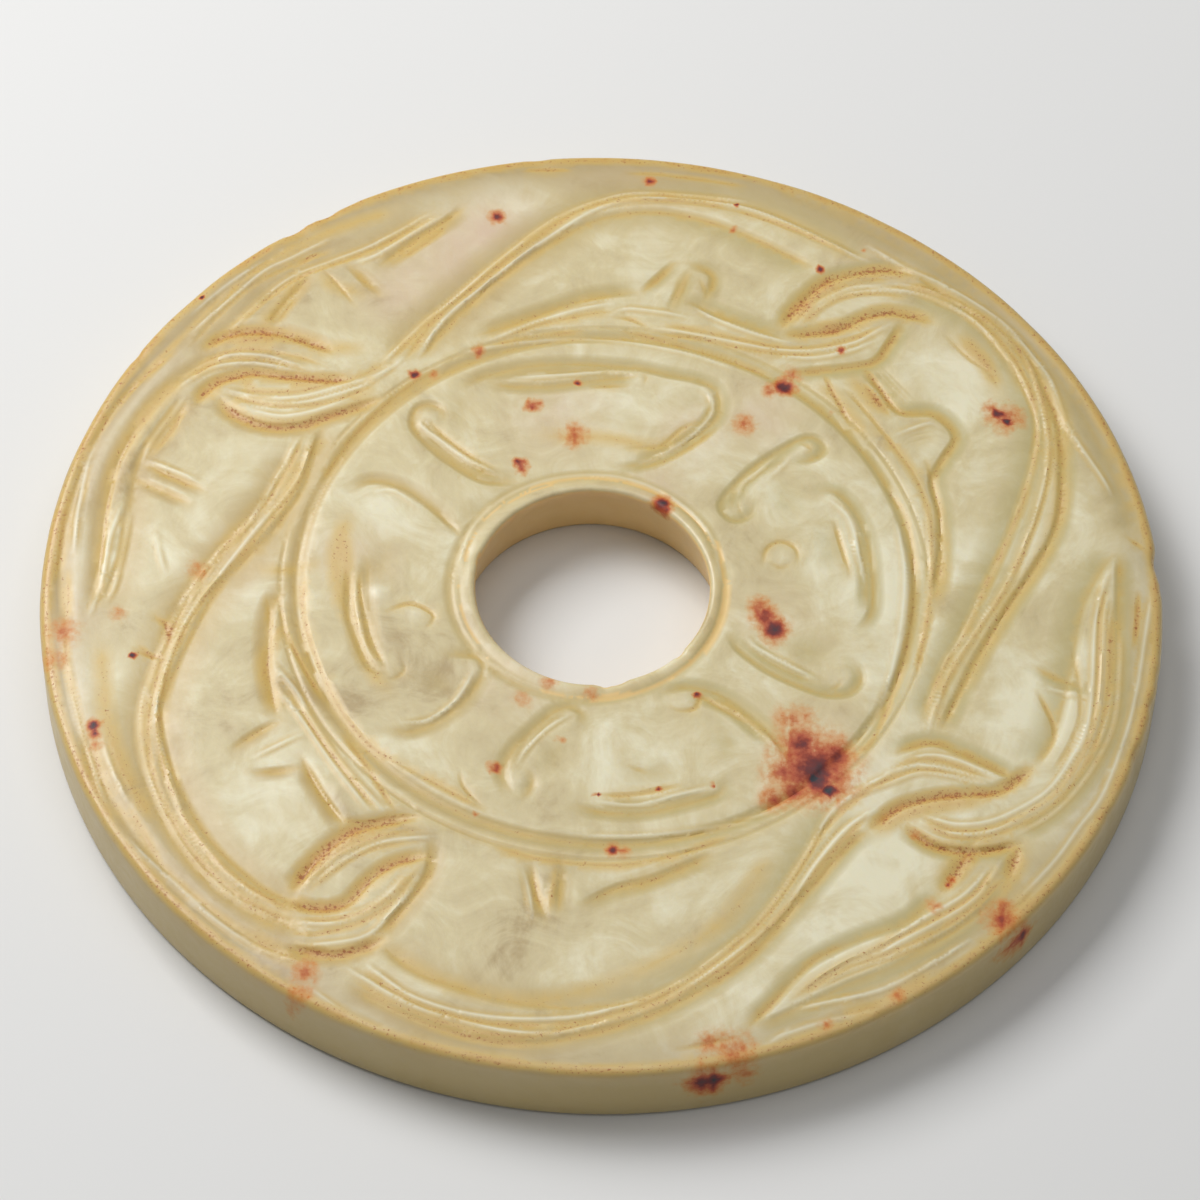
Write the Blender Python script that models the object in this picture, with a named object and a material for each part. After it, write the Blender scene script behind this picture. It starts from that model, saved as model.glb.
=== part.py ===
"""Jade bi disc: a flat nephrite disc with a round bore, carved in low relief with coiled dragons.

The disc is one stone. It lies on its underside, centred on the Z axis, and its thickness runs along +Z.
The front is cut with slant cuts: each is steep where a band or a scroll stands up, and eases out into the
ground beside it. The underside is plain, with one incised line inside the rim and one around the bore.
"""
import math
from typing import NamedTuple

import bmesh
import bpy
import numpy as np
from mathutils.geometry import delaunay_2d_cdt

MM = 0.001

# Driving dimensions
DISC_DIAMETER = 120 * MM
DISC_THICKNESS = 8.7 * MM
BORE_DIAMETER = 25 * MM
BORE_OFFSET = -1.0 * MM
BORE_TAPER = 1.5 * MM
RIM_ROUNDING = 0.9 * MM
FOOT_ROUNDING = 0.7 * MM
BORE_ROUNDING = 0.6 * MM
BORDER_WIDTH = 4.0 * MM
BORDER_FALL = 0.4 * MM

# Circles that part the front into its zones, and the groove cut along each
RING_DIAMETER = 66 * MM
RING_CENTRE = (0.5 * MM, 0.6 * MM)
RING_CUT_DEPTH = 0.55 * MM
RING_CUT_INNER = 0.8 * MM
RING_CUT_OUTER = 1.5 * MM
COLLAR_WIDTH = 2.1 * MM
COLLAR_OFFSET = -0.6 * MM
COLLAR_CUT_DEPTH = 0.45 * MM
COLLAR_CUT_INNER = 0.5 * MM
COLLAR_CUT_OUTER = 1.1 * MM

# Incised lines of the underside
LINE_WIDTH = 1.2 * MM
LINE_DEPTH = 0.35 * MM
LINE_INSET = 4.5 * MM

# How the relief runs out, and how finely the stone is faceted
CUT_RUN_OUT = 2.6 * MM
EDGE_FADE = 1.2 * MM
SIDES = 90
RIM_STEPS = 3
BORE_STEPS = 2
CUT_STEP = 1.9 * MM
GROUND_STEP = 4.0 * MM
POINT_GAP = 0.52 * MM
EDGE_GAP = 0.9 * MM

# Widths and depths shared by the cuts
STEEP = 0.75 * MM
EVEN = 1.05 * MM
SOFT = 1.7 * MM
WIDE = 3.4 * MM
DEEP = 0.85 * MM
FULL = 0.6 * MM
LIGHT = 0.42 * MM
FINE = 0.32 * MM

DISC_RADIUS = DISC_DIAMETER / 2
BORE_RADIUS = BORE_DIAMETER / 2
FACE_RADIUS = DISC_RADIUS - RIM_ROUNDING
MOUTH_RADIUS = BORE_RADIUS + BORE_ROUNDING


class Cut(NamedTuple):
    """One slant cut: how far its sides run out left and right of the path, and its depth.

    The path is a few places as shares of the disc's radius, joined by a smooth curve.
    """

    left: float
    right: float
    depth: float
    path: tuple


class Chip(NamedTuple):
    """A small loss on the rim: its bearing and half width in degrees, and its depth."""

    bearing: float
    half_width: float
    depth: float


CHIPS = (
    Chip(bearing=124, half_width=7, depth=0.45 * MM),
    Chip(bearing=4, half_width=5, depth=0.3 * MM),
    Chip(bearing=342, half_width=5, depth=0.25 * MM),
)

# Four long bands, each given by its outer and then its inner edge
BAND_CUTS = (
    Cut(WIDE, STEEP, LIGHT, ((-0.40, 0.51), (-0.32, 0.61), (-0.22, 0.725), (-0.12, 0.825), (-0.01, 0.892),
                             (0.09, 0.907), (0.20, 0.896), (0.30, 0.866), (0.41, 0.805), (0.475, 0.757))),
    Cut(STEEP, WIDE, FULL, ((-0.345, 0.50), (-0.268, 0.617), (-0.174, 0.721), (-0.09, 0.795), (-0.015, 0.843),
                            (0.09, 0.86), (0.20, 0.835), (0.30, 0.785), (0.38, 0.735))),
    Cut(SOFT, STEEP, FULL, ((0.57, 0.722), (0.64, 0.664), (0.72, 0.60), (0.775, 0.53), (0.812, 0.43),
                            (0.828, 0.34), (0.826, 0.25), (0.812, 0.15), (0.764, 0.05), (0.71, -0.048),
                            (0.66, -0.142), (0.60, -0.285))),
    Cut(STEEP, WIDE, LIGHT, ((0.55, 0.684), (0.624, 0.656), (0.70, 0.584), (0.754, 0.491), (0.784, 0.394),
                             (0.777, 0.311), (0.75, 0.203), (0.714, 0.095), (0.667, -0.02), (0.624, -0.117),
                             (0.592, -0.19), (0.565, -0.27))),
    Cut(SOFT, STEEP, FULL, ((0.475, -0.50), (0.437, -0.527), (0.372, -0.617), (0.282, -0.739), (0.21, -0.808),
                            (0.113, -0.872), (0.016, -0.912), (-0.088, -0.938), (-0.196, -0.93),
                            (-0.304, -0.894), (-0.41, -0.838))),
    Cut(STEEP, WIDE, LIGHT, ((0.43, -0.46), (0.376, -0.523), (0.322, -0.624), (0.261, -0.71), (0.167, -0.80),
                             (0.088, -0.847), (-0.02, -0.868), (-0.124, -0.862), (-0.225, -0.835),
                             (-0.304, -0.804), (-0.365, -0.752))),
    Cut(WIDE, STEEP, LIGHT, ((-0.484, -0.728), (-0.599, -0.678), (-0.674, -0.61), (-0.736, -0.52),
                             (-0.782, -0.412), (-0.80, -0.297), (-0.775, -0.16), (-0.725, -0.02),
                             (-0.66, 0.092), (-0.606, 0.178), (-0.565, 0.29))),
    Cut(STEEP, WIDE, FULL, ((-0.49, -0.689), (-0.581, -0.635), (-0.667, -0.545), (-0.718, -0.452),
                            (-0.752, -0.369), (-0.762, -0.286), (-0.739, -0.178), (-0.689, -0.041),
                            (-0.638, 0.041), (-0.577, 0.131), (-0.538, 0.214), (-0.512, 0.345))),
)

# Pointed tails that leave the knots along the border, and the border's own line
TAIL_CUTS = (
    Cut(STEEP, SOFT, LIGHT, ((-0.70, 0.504), (-0.772, 0.448), (-0.829, 0.369), (-0.874, 0.268), (-0.894, 0.16),
                             (-0.898, 0.052), (-0.895, -0.07))),
    Cut(WIDE, STEEP, LIGHT, ((-0.768, 0.401), (-0.818, 0.308), (-0.842, 0.25), (-0.852, 0.146), (-0.858, 0.041),
                             (-0.882, -0.07))),
    Cut(STEEP, SOFT, LIGHT, ((0.725, -0.502), (0.79, -0.455), (0.84, -0.394), (0.88, -0.322), (0.904, -0.25),
                             (0.915, -0.142), (0.918, -0.04), (0.925, 0.10))),
    Cut(WIDE, STEEP, LIGHT, ((0.754, -0.365), (0.797, -0.286), (0.831, -0.142), (0.851, -0.034), (0.88, 0.041),
                             (0.915, 0.10))),
    Cut(WIDE, STEEP, FINE, ((-0.745, 0.512), (-0.66, 0.605), (-0.588, 0.68), (-0.523, 0.718), (-0.423, 0.768),
                            (-0.34, 0.838))),
    Cut(STEEP, SOFT, FULL, ((-0.43, 0.714), (-0.369, 0.775), (-0.308, 0.826), (-0.278, 0.862))),
    Cut(STEEP, SOFT, LIGHT, ((0.592, -0.624), (0.53, -0.685), (0.441, -0.727), (0.362, -0.779), (0.304, -0.851),
                             (0.262, -0.90))),
    Cut(SOFT, STEEP, LIGHT, ((0.707, -0.60), (0.66, -0.66), (0.599, -0.713), (0.516, -0.768), (0.43, -0.812),
                             (0.34, -0.864), (0.275, -0.90))),
    Cut(EVEN, EVEN, LIGHT, ((-0.895, -0.32), (-0.86, -0.425), (-0.80, -0.525), (-0.74, -0.606), (-0.67, -0.675),
                            (-0.58, -0.745), (-0.50, -0.787))),
    Cut(EVEN, EVEN, FINE, ((-0.945, -0.13), (-0.962, 0.02), (-0.958, 0.16), (-0.925, 0.30), (-0.86, 0.43),
                           (-0.79, 0.53), (-0.70, 0.66))),
)

# Four knots where bands cross, as the lens-shaped cuts around two crescents
KNOT_CUTS = (
    Cut(SOFT, STEEP, DEEP, ((0.318, 0.592), (0.347, 0.64), (0.398, 0.70), (0.455, 0.724), (0.515, 0.735),
                            (0.565, 0.725))),
    Cut(EVEN, STEEP, DEEP, ((0.326, 0.577), (0.376, 0.581), (0.426, 0.592), (0.473, 0.622), (0.53, 0.633),
                            (0.60, 0.615))),
    Cut(SOFT, STEEP, FULL, ((0.545, 0.617), (0.516, 0.559), (0.49, 0.52), (0.44, 0.505), (0.335, 0.49))),
    Cut(SOFT, STEEP, DEEP, ((-0.52, -0.655), (-0.484, -0.592), (-0.43, -0.534), (-0.376, -0.512),
                            (-0.31, -0.496))),
    Cut(EVEN, STEEP, DEEP, ((-0.535, -0.67), (-0.473, -0.685), (-0.424, -0.672), (-0.38, -0.617),
                            (-0.34, -0.588), (-0.283, -0.572))),
    Cut(SOFT, STEEP, FULL, ((-0.282, -0.54), (-0.286, -0.606), (-0.315, -0.664), (-0.365, -0.738))),
    Cut(STEEP, SOFT, DEEP, ((-0.525, -0.764), (-0.444, -0.775), (-0.394, -0.761), (-0.35, -0.738))),
    Cut(SOFT, STEEP, DEEP, ((-0.745, 0.512), (-0.696, 0.546), (-0.64, 0.554), (-0.588, 0.546), (-0.50, 0.512))),
    Cut(EVEN, STEEP, DEEP, ((-0.75, 0.383), (-0.714, 0.434), (-0.65, 0.459), (-0.588, 0.453), (-0.516, 0.447),
                            (-0.46, 0.452))),
    Cut(STEEP, SOFT, DEEP, ((-0.707, 0.401), (-0.674, 0.365), (-0.617, 0.34), (-0.559, 0.342), (-0.505, 0.365),
                            (-0.41, 0.408))),
    Cut(SOFT, STEEP, FULL, ((0.515, -0.34), (0.577, -0.317), (0.63, -0.334), (0.73, -0.39))),
    Cut(EVEN, STEEP, DEEP, ((0.47, -0.50), (0.523, -0.452), (0.581, -0.43), (0.638, -0.422), (0.70, -0.412),
                            (0.76, -0.36))),
    Cut(STEEP, SOFT, DEEP, ((0.53, -0.49), (0.588, -0.53), (0.66, -0.537), (0.74, -0.518))),
    Cut(STEEP, EVEN, FULL, ((0.656, -0.512), (0.62, -0.581), (0.592, -0.624))),
    Cut(STEEP, EVEN, FULL, ((0.732, -0.515), (0.72, -0.555), (0.704, -0.60))),
)

# Narrow bands that hug the ring, with their fins and claws
FIN_CUTS = (
    Cut(SOFT, STEEP, LIGHT, ((-0.24, 0.557), (-0.13, 0.61), (-0.034, 0.653), (0.055, 0.668))),
    Cut(SOFT, STEEP, LIGHT, ((0.135, 0.653), (0.21, 0.617), (0.32, 0.572))),
    Cut(SOFT, STEEP, FULL, ((0.465, 0.498), (0.498, 0.459), (0.535, 0.405), (0.598, 0.40), (0.635, 0.352),
                            (0.612, 0.30), (0.592, 0.25), (0.604, 0.178), (0.604, 0.088), (0.59, 0.0))),
    Cut(SOFT, STEEP, FULL, ((-0.43, -0.52), (-0.466, -0.469), (-0.516, -0.382))),
    Cut(SOFT, STEEP, LIGHT, ((-0.563, -0.295), (-0.584, -0.182), (-0.587, -0.08), (-0.56, -0.01))),
    Cut(SOFT, STEEP, FULL, ((0.205, -0.555), (0.106, -0.606), (0.034, -0.631), (-0.02, -0.665))),
    Cut(STEEP, EVEN, LIGHT, ((0.059, 0.664), (0.088, 0.70), (0.126, 0.745))),
    Cut(STEEP, EVEN, LIGHT, ((0.113, 0.625), (0.13, 0.672), (0.15, 0.722))),
    Cut(EVEN, STEEP, LIGHT, ((0.15, 0.738), (0.192, 0.71), (0.18, 0.65))),
    Cut(STEEP, EVEN, LIGHT, ((-0.832, 0.245), (-0.768, 0.214), (-0.718, 0.188))),
    Cut(STEEP, EVEN, LIGHT, ((-0.865, 0.222), (-0.797, 0.189), (-0.742, 0.158))),
    Cut(STEEP, EVEN, LIGHT, ((0.766, -0.152), (0.815, -0.18), (0.862, -0.198))),
    Cut(STEEP, EVEN, LIGHT, ((-0.626, 0.565), (-0.588, 0.635), (-0.55, 0.692))),
    Cut(EVEN, STEEP, LIGHT, ((-0.486, 0.716), (-0.444, 0.671), (-0.42, 0.645))),
    Cut(EVEN, STEEP, LIGHT, ((-0.056, -0.58), (-0.061, -0.685))),
    Cut(STEEP, EVEN, LIGHT, ((-0.112, -0.585), (-0.10, -0.64), (-0.082, -0.695))),
    Cut(EVEN, STEEP, LIGHT, ((-0.56, -0.303), (-0.606, -0.336), (-0.637, -0.366))),
    Cut(EVEN, STEEP, LIGHT, ((-0.515, -0.40), (-0.56, -0.408), (-0.602, -0.412))),
)

# Four coiled dragons between the ring and the collar
SCROLL_CUTS = (
    Cut(EVEN, STEEP, LIGHT, ((-0.25, 0.45), (-0.174, 0.484), (-0.052, 0.498), (0.088, 0.484), (0.165, 0.466),
                             (0.203, 0.42), (0.19, 0.365), (0.135, 0.315), (0.03, 0.27))),
    Cut(STEEP, EVEN, LIGHT, ((-0.21, 0.448), (-0.142, 0.444), (-0.066, 0.455), (0.06, 0.476))),
    Cut(EVEN, STEEP, LIGHT, ((-0.293, 0.36), (-0.318, 0.394), (-0.347, 0.387), (-0.345, 0.33), (-0.286, 0.272),
                             (-0.221, 0.228), (-0.155, 0.23))),
    Cut(STEEP, STEEP, FINE, ((-0.322, 0.362), (-0.243, 0.282), (-0.195, 0.254))),
    Cut(STEEP, STEEP, FINE, ((0.04, 0.308), (0.12, 0.334), (0.17, 0.374))),
    Cut(EVEN, STEEP, LIGHT, ((-0.45, 0.203), (-0.401, 0.221), (-0.34, 0.192), (-0.29, 0.146), (-0.255, 0.10))),
    Cut(EVEN, STEEP, LIGHT, ((-0.434, 0.04), (-0.428, -0.034), (-0.405, -0.124), (-0.375, -0.192))),
    Cut(EVEN, STEEP, LIGHT, ((-0.27, -0.156), (-0.221, -0.156), (-0.208, -0.20), (-0.239, -0.257),
                             (-0.286, -0.30), (-0.36, -0.315))),
    Cut(STEEP, STEEP, FINE, ((-0.38, -0.066), (-0.333, -0.047), (-0.297, -0.072), (-0.31, -0.10))),
    Cut(EVEN, STEEP, LIGHT, ((0.34, 0.284), (0.385, 0.298), (0.395, 0.325), (0.362, 0.342), (0.311, 0.308),
                             (0.25, 0.25), (0.209, 0.185), (0.236, 0.153), (0.27, 0.18))),
    Cut(EVEN, STEEP, LIGHT, ((0.395, 0.222), (0.434, 0.203), (0.466, 0.142), (0.481, 0.055), (0.478, -0.035),
                             (0.458, -0.08))),
    Cut(EVEN, STEEP, LIGHT, ((0.232, -0.106), (0.268, -0.153), (0.322, -0.189), (0.376, -0.217),
                             (0.434, -0.218), (0.46, -0.182), (0.448, -0.152))),
    Cut(STEEP, STEEP, FINE, ((0.285, 0.055), (0.30, 0.105), (0.345, 0.098), (0.352, 0.055))),
    Cut(STEEP, EVEN, LIGHT, ((-0.034, -0.295), (-0.032, -0.268), (-0.066, -0.264), (-0.11, -0.303),
                             (-0.156, -0.365), (-0.17, -0.41), (-0.15, -0.44))),
    Cut(STEEP, EVEN, FINE, ((-0.124, -0.392), (-0.112, -0.42), (-0.13, -0.45))),
    Cut(STEEP, EVEN, LIGHT, ((-0.036, -0.462), (0.052, -0.479), (0.124, -0.462), (0.212, -0.432),
                             (0.214, -0.40))),
    Cut(EVEN, STEEP, LIGHT, ((0.11, -0.226), (0.167, -0.212), (0.225, -0.232), (0.297, -0.30),
                             (0.335, -0.355))),
    Cut(STEEP, STEEP, FINE, ((0.125, -0.256), (0.168, -0.256), (0.18, -0.232), (0.239, -0.272),
                             (0.30, -0.332))),
)

ALL_CUTS = BAND_CUTS + TAIL_CUTS + KNOT_CUTS + FIN_CUTS + SCROLL_CUTS


def smooth_path(cut, step):
    """The cut's path as a smooth curve in metres, with a point about every step."""
    knots = np.array(cut.path) * DISC_RADIUS
    before = 2 * knots[0] - knots[1]
    after = 2 * knots[-1] - knots[-2]
    ends = np.vstack([before, knots, after])
    fine = []
    for index in range(1, len(ends) - 2):
        a, b, c, d = ends[index - 1:index + 3]
        for t in np.linspace(0, 1, 12, endpoint=False):
            fine.append(0.5 * (2 * b + (c - a) * t + (2 * a - 5 * b + 4 * c - d) * t ** 2
                               + (3 * b - a - 3 * c + d) * t ** 3))
    fine.append(knots[-1])
    fine = np.array(fine)
    run = np.concatenate([[0], np.cumsum(np.hypot(*np.diff(fine, axis=0).T))])
    stations = np.linspace(0, run[-1], max(3, round(run[-1] / step) + 1))
    return np.column_stack([np.interp(stations, run, fine[:, axis]) for axis in (0, 1)])


def side_normals(line):
    """Unit vectors that point to the left of a line at each of its points."""
    along = np.gradient(line, axis=0)
    along /= np.hypot(*along.T)[:, None]
    return np.column_stack([-along[:, 1], along[:, 0]])


def cut_depth(cut, places):
    """How deep one cut is at each place: nothing beyond its sides, and running out at its ends."""
    line = smooth_path(cut, CUT_STEP / 2)
    start = line[:-1]
    leg = line[1:] - start
    length = np.hypot(*leg.T)
    run = np.concatenate([[0], np.cumsum(length)])
    offset = places[:, None] - start[None]
    share = np.clip((offset * leg).sum(-1) / length ** 2, 0, 1)
    gap = offset - share[..., None] * leg
    distance = np.hypot(gap[..., 0], gap[..., 1])
    nearest = distance.argmin(axis=1)
    rows = np.arange(len(places))
    side = leg[nearest, 0] * offset[rows, nearest, 1] - leg[nearest, 1] * offset[rows, nearest, 0]
    reach = np.where(side > 0, cut.left, cut.right)
    along = run[nearest] + share[rows, nearest] * length[nearest]
    run_out = np.clip(0.25 + np.minimum(along, run[-1] - along) / CUT_RUN_OUT, 0, 1)
    return cut.depth * run_out * np.clip(1 - distance[rows, nearest] / reach, 0, 1)


def circle_depth(places, centre, radius, depth, inner, outer):
    """How deep a circular groove is at each place."""
    gap = np.hypot(places[:, 0] - centre[0], places[:, 1] - centre[1]) - radius
    reach = np.where(gap > 0, outer, inner)
    return depth * np.clip(1 - np.abs(gap) / reach, 0, 1)


def collar_circle():
    """Centre and radius of the groove that parts the collar from the dragons."""
    return (BORE_OFFSET + COLLAR_OFFSET, 0.0), BORE_RADIUS + COLLAR_WIDTH


def front_height(places):
    """Height of the carved front over the underside at each place."""
    from_axis = np.hypot(*places.T)
    from_bore = np.hypot(places[:, 0] - BORE_OFFSET, places[:, 1])
    fall = BORDER_FALL * np.clip((from_axis - DISC_RADIUS + BORDER_WIDTH) / (BORDER_WIDTH - RIM_ROUNDING), 0, 1)
    depth = circle_depth(places, RING_CENTRE, RING_DIAMETER / 2, RING_CUT_DEPTH, RING_CUT_INNER, RING_CUT_OUTER)
    centre, radius = collar_circle()
    depth = np.maximum(depth, circle_depth(places, centre, radius, COLLAR_CUT_DEPTH, COLLAR_CUT_INNER,
                                           COLLAR_CUT_OUTER))
    for cut in ALL_CUTS:
        depth = np.maximum(depth, cut_depth(cut, places))
    margin = np.minimum(FACE_RADIUS - from_axis, from_bore - MOUTH_RADIUS)
    return DISC_THICKNESS - fall - depth * np.clip(margin / EDGE_FADE, 0, 1)


def rim_loss(bearing):
    """How much of the rim is chipped away at a bearing in degrees."""
    loss = 0.0
    for chip in CHIPS:
        away = abs((bearing - chip.bearing + 180) % 360 - 180)
        loss = max(loss, chip.depth * max(0.0, 1 - away / chip.half_width))
    return loss


def ring_places(centre_x, radius, chipped=False):
    """Even places around a circle, pulled in where the rim is chipped."""
    places = []
    for index in range(SIDES):
        bearing = 360 * index / SIDES
        reach = radius - (rim_loss(bearing) if chipped else 0)
        places.append((centre_x + reach * math.cos(math.radians(bearing)),
                       reach * math.sin(math.radians(bearing))))
    return places


def circle_rows(centre, radius, inner, outer, step):
    """Places along a circular groove: its bottom, then its two shoulders."""
    rows = []
    for reach in (radius, radius - inner, radius + outer):
        turns = np.linspace(0, 2 * math.pi, round(2 * math.pi * radius / step), endpoint=False)
        rows.append(np.column_stack([centre[0] + reach * np.cos(turns), centre[1] + reach * np.sin(turns)]))
    return rows


def carving_places():
    """Places where the front's facets meet, the most telling first: cut bottoms, shoulders, then ground."""
    bottoms, shoulders = [], []
    centre, radius = collar_circle()
    for rows in (circle_rows(RING_CENTRE, RING_DIAMETER / 2, RING_CUT_INNER, RING_CUT_OUTER, CUT_STEP),
                 circle_rows(centre, radius, COLLAR_CUT_INNER, COLLAR_CUT_OUTER, CUT_STEP)):
        bottoms.append(rows[0])
        shoulders.extend(rows[1:])
    for cut in ALL_CUTS:
        line = smooth_path(cut, CUT_STEP)
        normals = side_normals(line)
        bottoms.append(line)
        shoulders.append(line + normals * cut.left)
        shoulders.append(line - normals * cut.right)
    reach = np.arange(-DISC_RADIUS, DISC_RADIUS, GROUND_STEP)
    across, up = np.meshgrid(reach, reach * math.sqrt(3) / 2)
    across = across + (np.arange(len(reach)) % 2)[:, None] * GROUND_STEP / 2
    ground = np.column_stack([across.ravel(), up.ravel()])
    return np.vstack(bottoms), np.vstack(shoulders), ground


def spaced_places():
    """The carving's places without those that crowd each other or the face's two edges."""
    kept = np.empty((0, 2))
    for group, gap in zip(carving_places(), (POINT_GAP, POINT_GAP * 1.25, GROUND_STEP * 0.55)):
        inside = ((FACE_RADIUS - np.hypot(*group.T) > EDGE_GAP)
                  & (np.hypot(group[:, 0] - BORE_OFFSET, group[:, 1]) - MOUTH_RADIUS > EDGE_GAP))
        for place in group[inside]:
            if len(kept) == 0 or np.hypot(*(kept - place).T).min() > gap:
                kept = np.vstack([kept, place])
    return kept


def turned_profile():
    """Circles from the front's outer edge over the rim, underside and bore to its inner edge.

    Each is the X of its centre, its radius, its height and whether the rim's chips reach it.
    """
    shoulder = DISC_THICKNESS - BORDER_FALL - RIM_ROUNDING
    circles = []
    for step in range(1, RIM_STEPS + 1):
        turn = math.pi / 2 * step / RIM_STEPS
        circles.append((0, FACE_RADIUS + RIM_ROUNDING * math.sin(turn),
                        shoulder + RIM_ROUNDING * math.cos(turn), True))
    for step in range(RIM_STEPS):
        turn = math.pi / 2 * step / (RIM_STEPS - 1)
        circles.append((0, DISC_RADIUS - FOOT_ROUNDING * (1 - math.cos(turn)),
                        FOOT_ROUNDING * (1 - math.sin(turn)), step < RIM_STEPS - 1))
    outer_line = DISC_RADIUS - LINE_INSET
    inner_line = BORE_RADIUS + LINE_INSET
    for centre_x, middle in ((0, outer_line), (BORE_OFFSET, inner_line)):
        circles.append((centre_x, middle + LINE_WIDTH / 2, 0, False))
        circles.append((centre_x, middle, LINE_DEPTH, False))
        circles.append((centre_x, middle - LINE_WIDTH / 2, 0, False))
    circles.append((BORE_OFFSET, MOUTH_RADIUS + BORE_TAPER, 0, False))
    circles.append((BORE_OFFSET, BORE_RADIUS + BORE_TAPER, BORE_ROUNDING, False))
    for step in range(BORE_STEPS):
        turn = math.pi / 2 * step / BORE_STEPS
        circles.append((BORE_OFFSET, MOUTH_RADIUS - BORE_ROUNDING * math.cos(turn),
                        DISC_THICKNESS - BORE_ROUNDING * (1 - math.sin(turn)), False))
    return circles


def add_front(mesh):
    """Adds the carved front to the mesh and gives back its outer and inner loops of vertices."""
    outer = ring_places(0, FACE_RADIUS)
    inner = ring_places(BORE_OFFSET, MOUTH_RADIUS)
    places = np.vstack([outer, inner, spaced_places()])
    loops = [range(SIDES), range(SIDES, 2 * SIDES)]
    edges = [(loop[i], loop[(i + 1) % SIDES]) for loop in loops for i in range(SIDES)]
    flat = [tuple(place / MM) for place in places]
    found, _, triangles, origins, _, _ = delaunay_2d_cdt(flat, edges, [], 0, 1e-6)
    plane = np.array([tuple(place) for place in found]) * MM
    heights = front_height(plane)
    vertices = [mesh.verts.new((x, y, z)) for (x, y), z in zip(plane, heights)]
    row_of = {origin: row for row, sources in enumerate(origins) for origin in sources}
    hole = {row_of[index] for index in loops[1]}
    for corners in triangles:
        if not hole.issuperset(corners):
            mesh.faces.new([vertices[corner] for corner in corners])
    return [[vertices[row_of[index]] for index in loop] for loop in loops]


def bridge(mesh, first, second):
    """Joins two loops of vertices with a band of faces."""
    for index in range(SIDES):
        after = (index + 1) % SIDES
        mesh.faces.new((first[index], first[after], second[after], second[index]))


def jade_material():
    """Pale celadon nephrite with a soft polish."""
    material = bpy.data.materials.new("celadon_nephrite")
    material.use_nodes = True
    shader = material.node_tree.nodes["Principled BSDF"]
    shader.inputs["Base Color"].default_value = (0.60, 0.57, 0.44, 1)
    shader.inputs["Roughness"].default_value = 0.32
    shader.inputs["Metallic"].default_value = 0.0
    return material


def build_disc():
    """Builds the whole stone: the carved front, then the rim, underside and bore as turned bands."""
    mesh = bmesh.new()
    outer, inner = add_front(mesh)
    last = outer
    for centre_x, radius, height, chipped in turned_profile():
        loop = [mesh.verts.new((x, y, height)) for x, y in ring_places(centre_x, radius, chipped)]
        bridge(mesh, last, loop)
        last = loop
    bridge(mesh, last, inner)
    bmesh.ops.triangulate(mesh, faces=mesh.faces[:])
    bmesh.ops.recalc_face_normals(mesh, faces=mesh.faces[:])
    data = bpy.data.meshes.new("jade_disc")
    mesh.to_mesh(data)
    mesh.free()
    data.shade_smooth()
    data.set_sharp_from_angle(angle=math.radians(28))
    data.materials.append(jade_material())
    disc = bpy.data.objects.new("jade_disc", data)
    bpy.context.scene.collection.objects.link(disc)
    return disc


def main():
    """Clears the scene and builds the disc."""
    for item in list(bpy.data.objects):
        bpy.data.objects.remove(item)
    build_disc()


if __name__ == "__main__":
    main()
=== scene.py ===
"""A carved jade bi disc lying on a pale table, seen from the front and above."""
import logging
import math
from collections.abc import Iterator, Sequence
from dataclasses import dataclass
from enum import Enum
from typing import NamedTuple

import bpy
import numpy as np
from mathutils import Matrix, Vector, noise
from mathutils.geometry import delaunay_2d_cdt


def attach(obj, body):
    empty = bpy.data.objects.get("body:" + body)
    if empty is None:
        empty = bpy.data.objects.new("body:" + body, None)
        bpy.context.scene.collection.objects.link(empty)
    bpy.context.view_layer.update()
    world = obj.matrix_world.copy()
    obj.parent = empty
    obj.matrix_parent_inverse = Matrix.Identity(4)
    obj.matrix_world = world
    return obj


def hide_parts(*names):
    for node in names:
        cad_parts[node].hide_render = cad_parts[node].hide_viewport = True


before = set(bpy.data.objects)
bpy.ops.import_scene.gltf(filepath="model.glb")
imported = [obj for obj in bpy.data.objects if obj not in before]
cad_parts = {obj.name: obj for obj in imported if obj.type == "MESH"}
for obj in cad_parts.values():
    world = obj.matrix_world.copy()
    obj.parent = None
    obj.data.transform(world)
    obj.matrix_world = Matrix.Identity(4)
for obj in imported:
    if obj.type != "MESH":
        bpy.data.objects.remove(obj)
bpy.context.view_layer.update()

LOG = logging.getLogger("jade_disc")
MM = 0.001
DISC_RADIUS = 60 * MM
SHARE = DISC_RADIUS / 1000

Colour = tuple[float, float, float]
Line = tuple[int, ...]
Socket = bpy.types.NodeSocket


class Profile(NamedTuple):
    """Cross-section that a tool leaves: its reach left and right of the line, its height, and if it is a fine line."""

    left: float
    right: float
    height: float
    fine: bool


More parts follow.
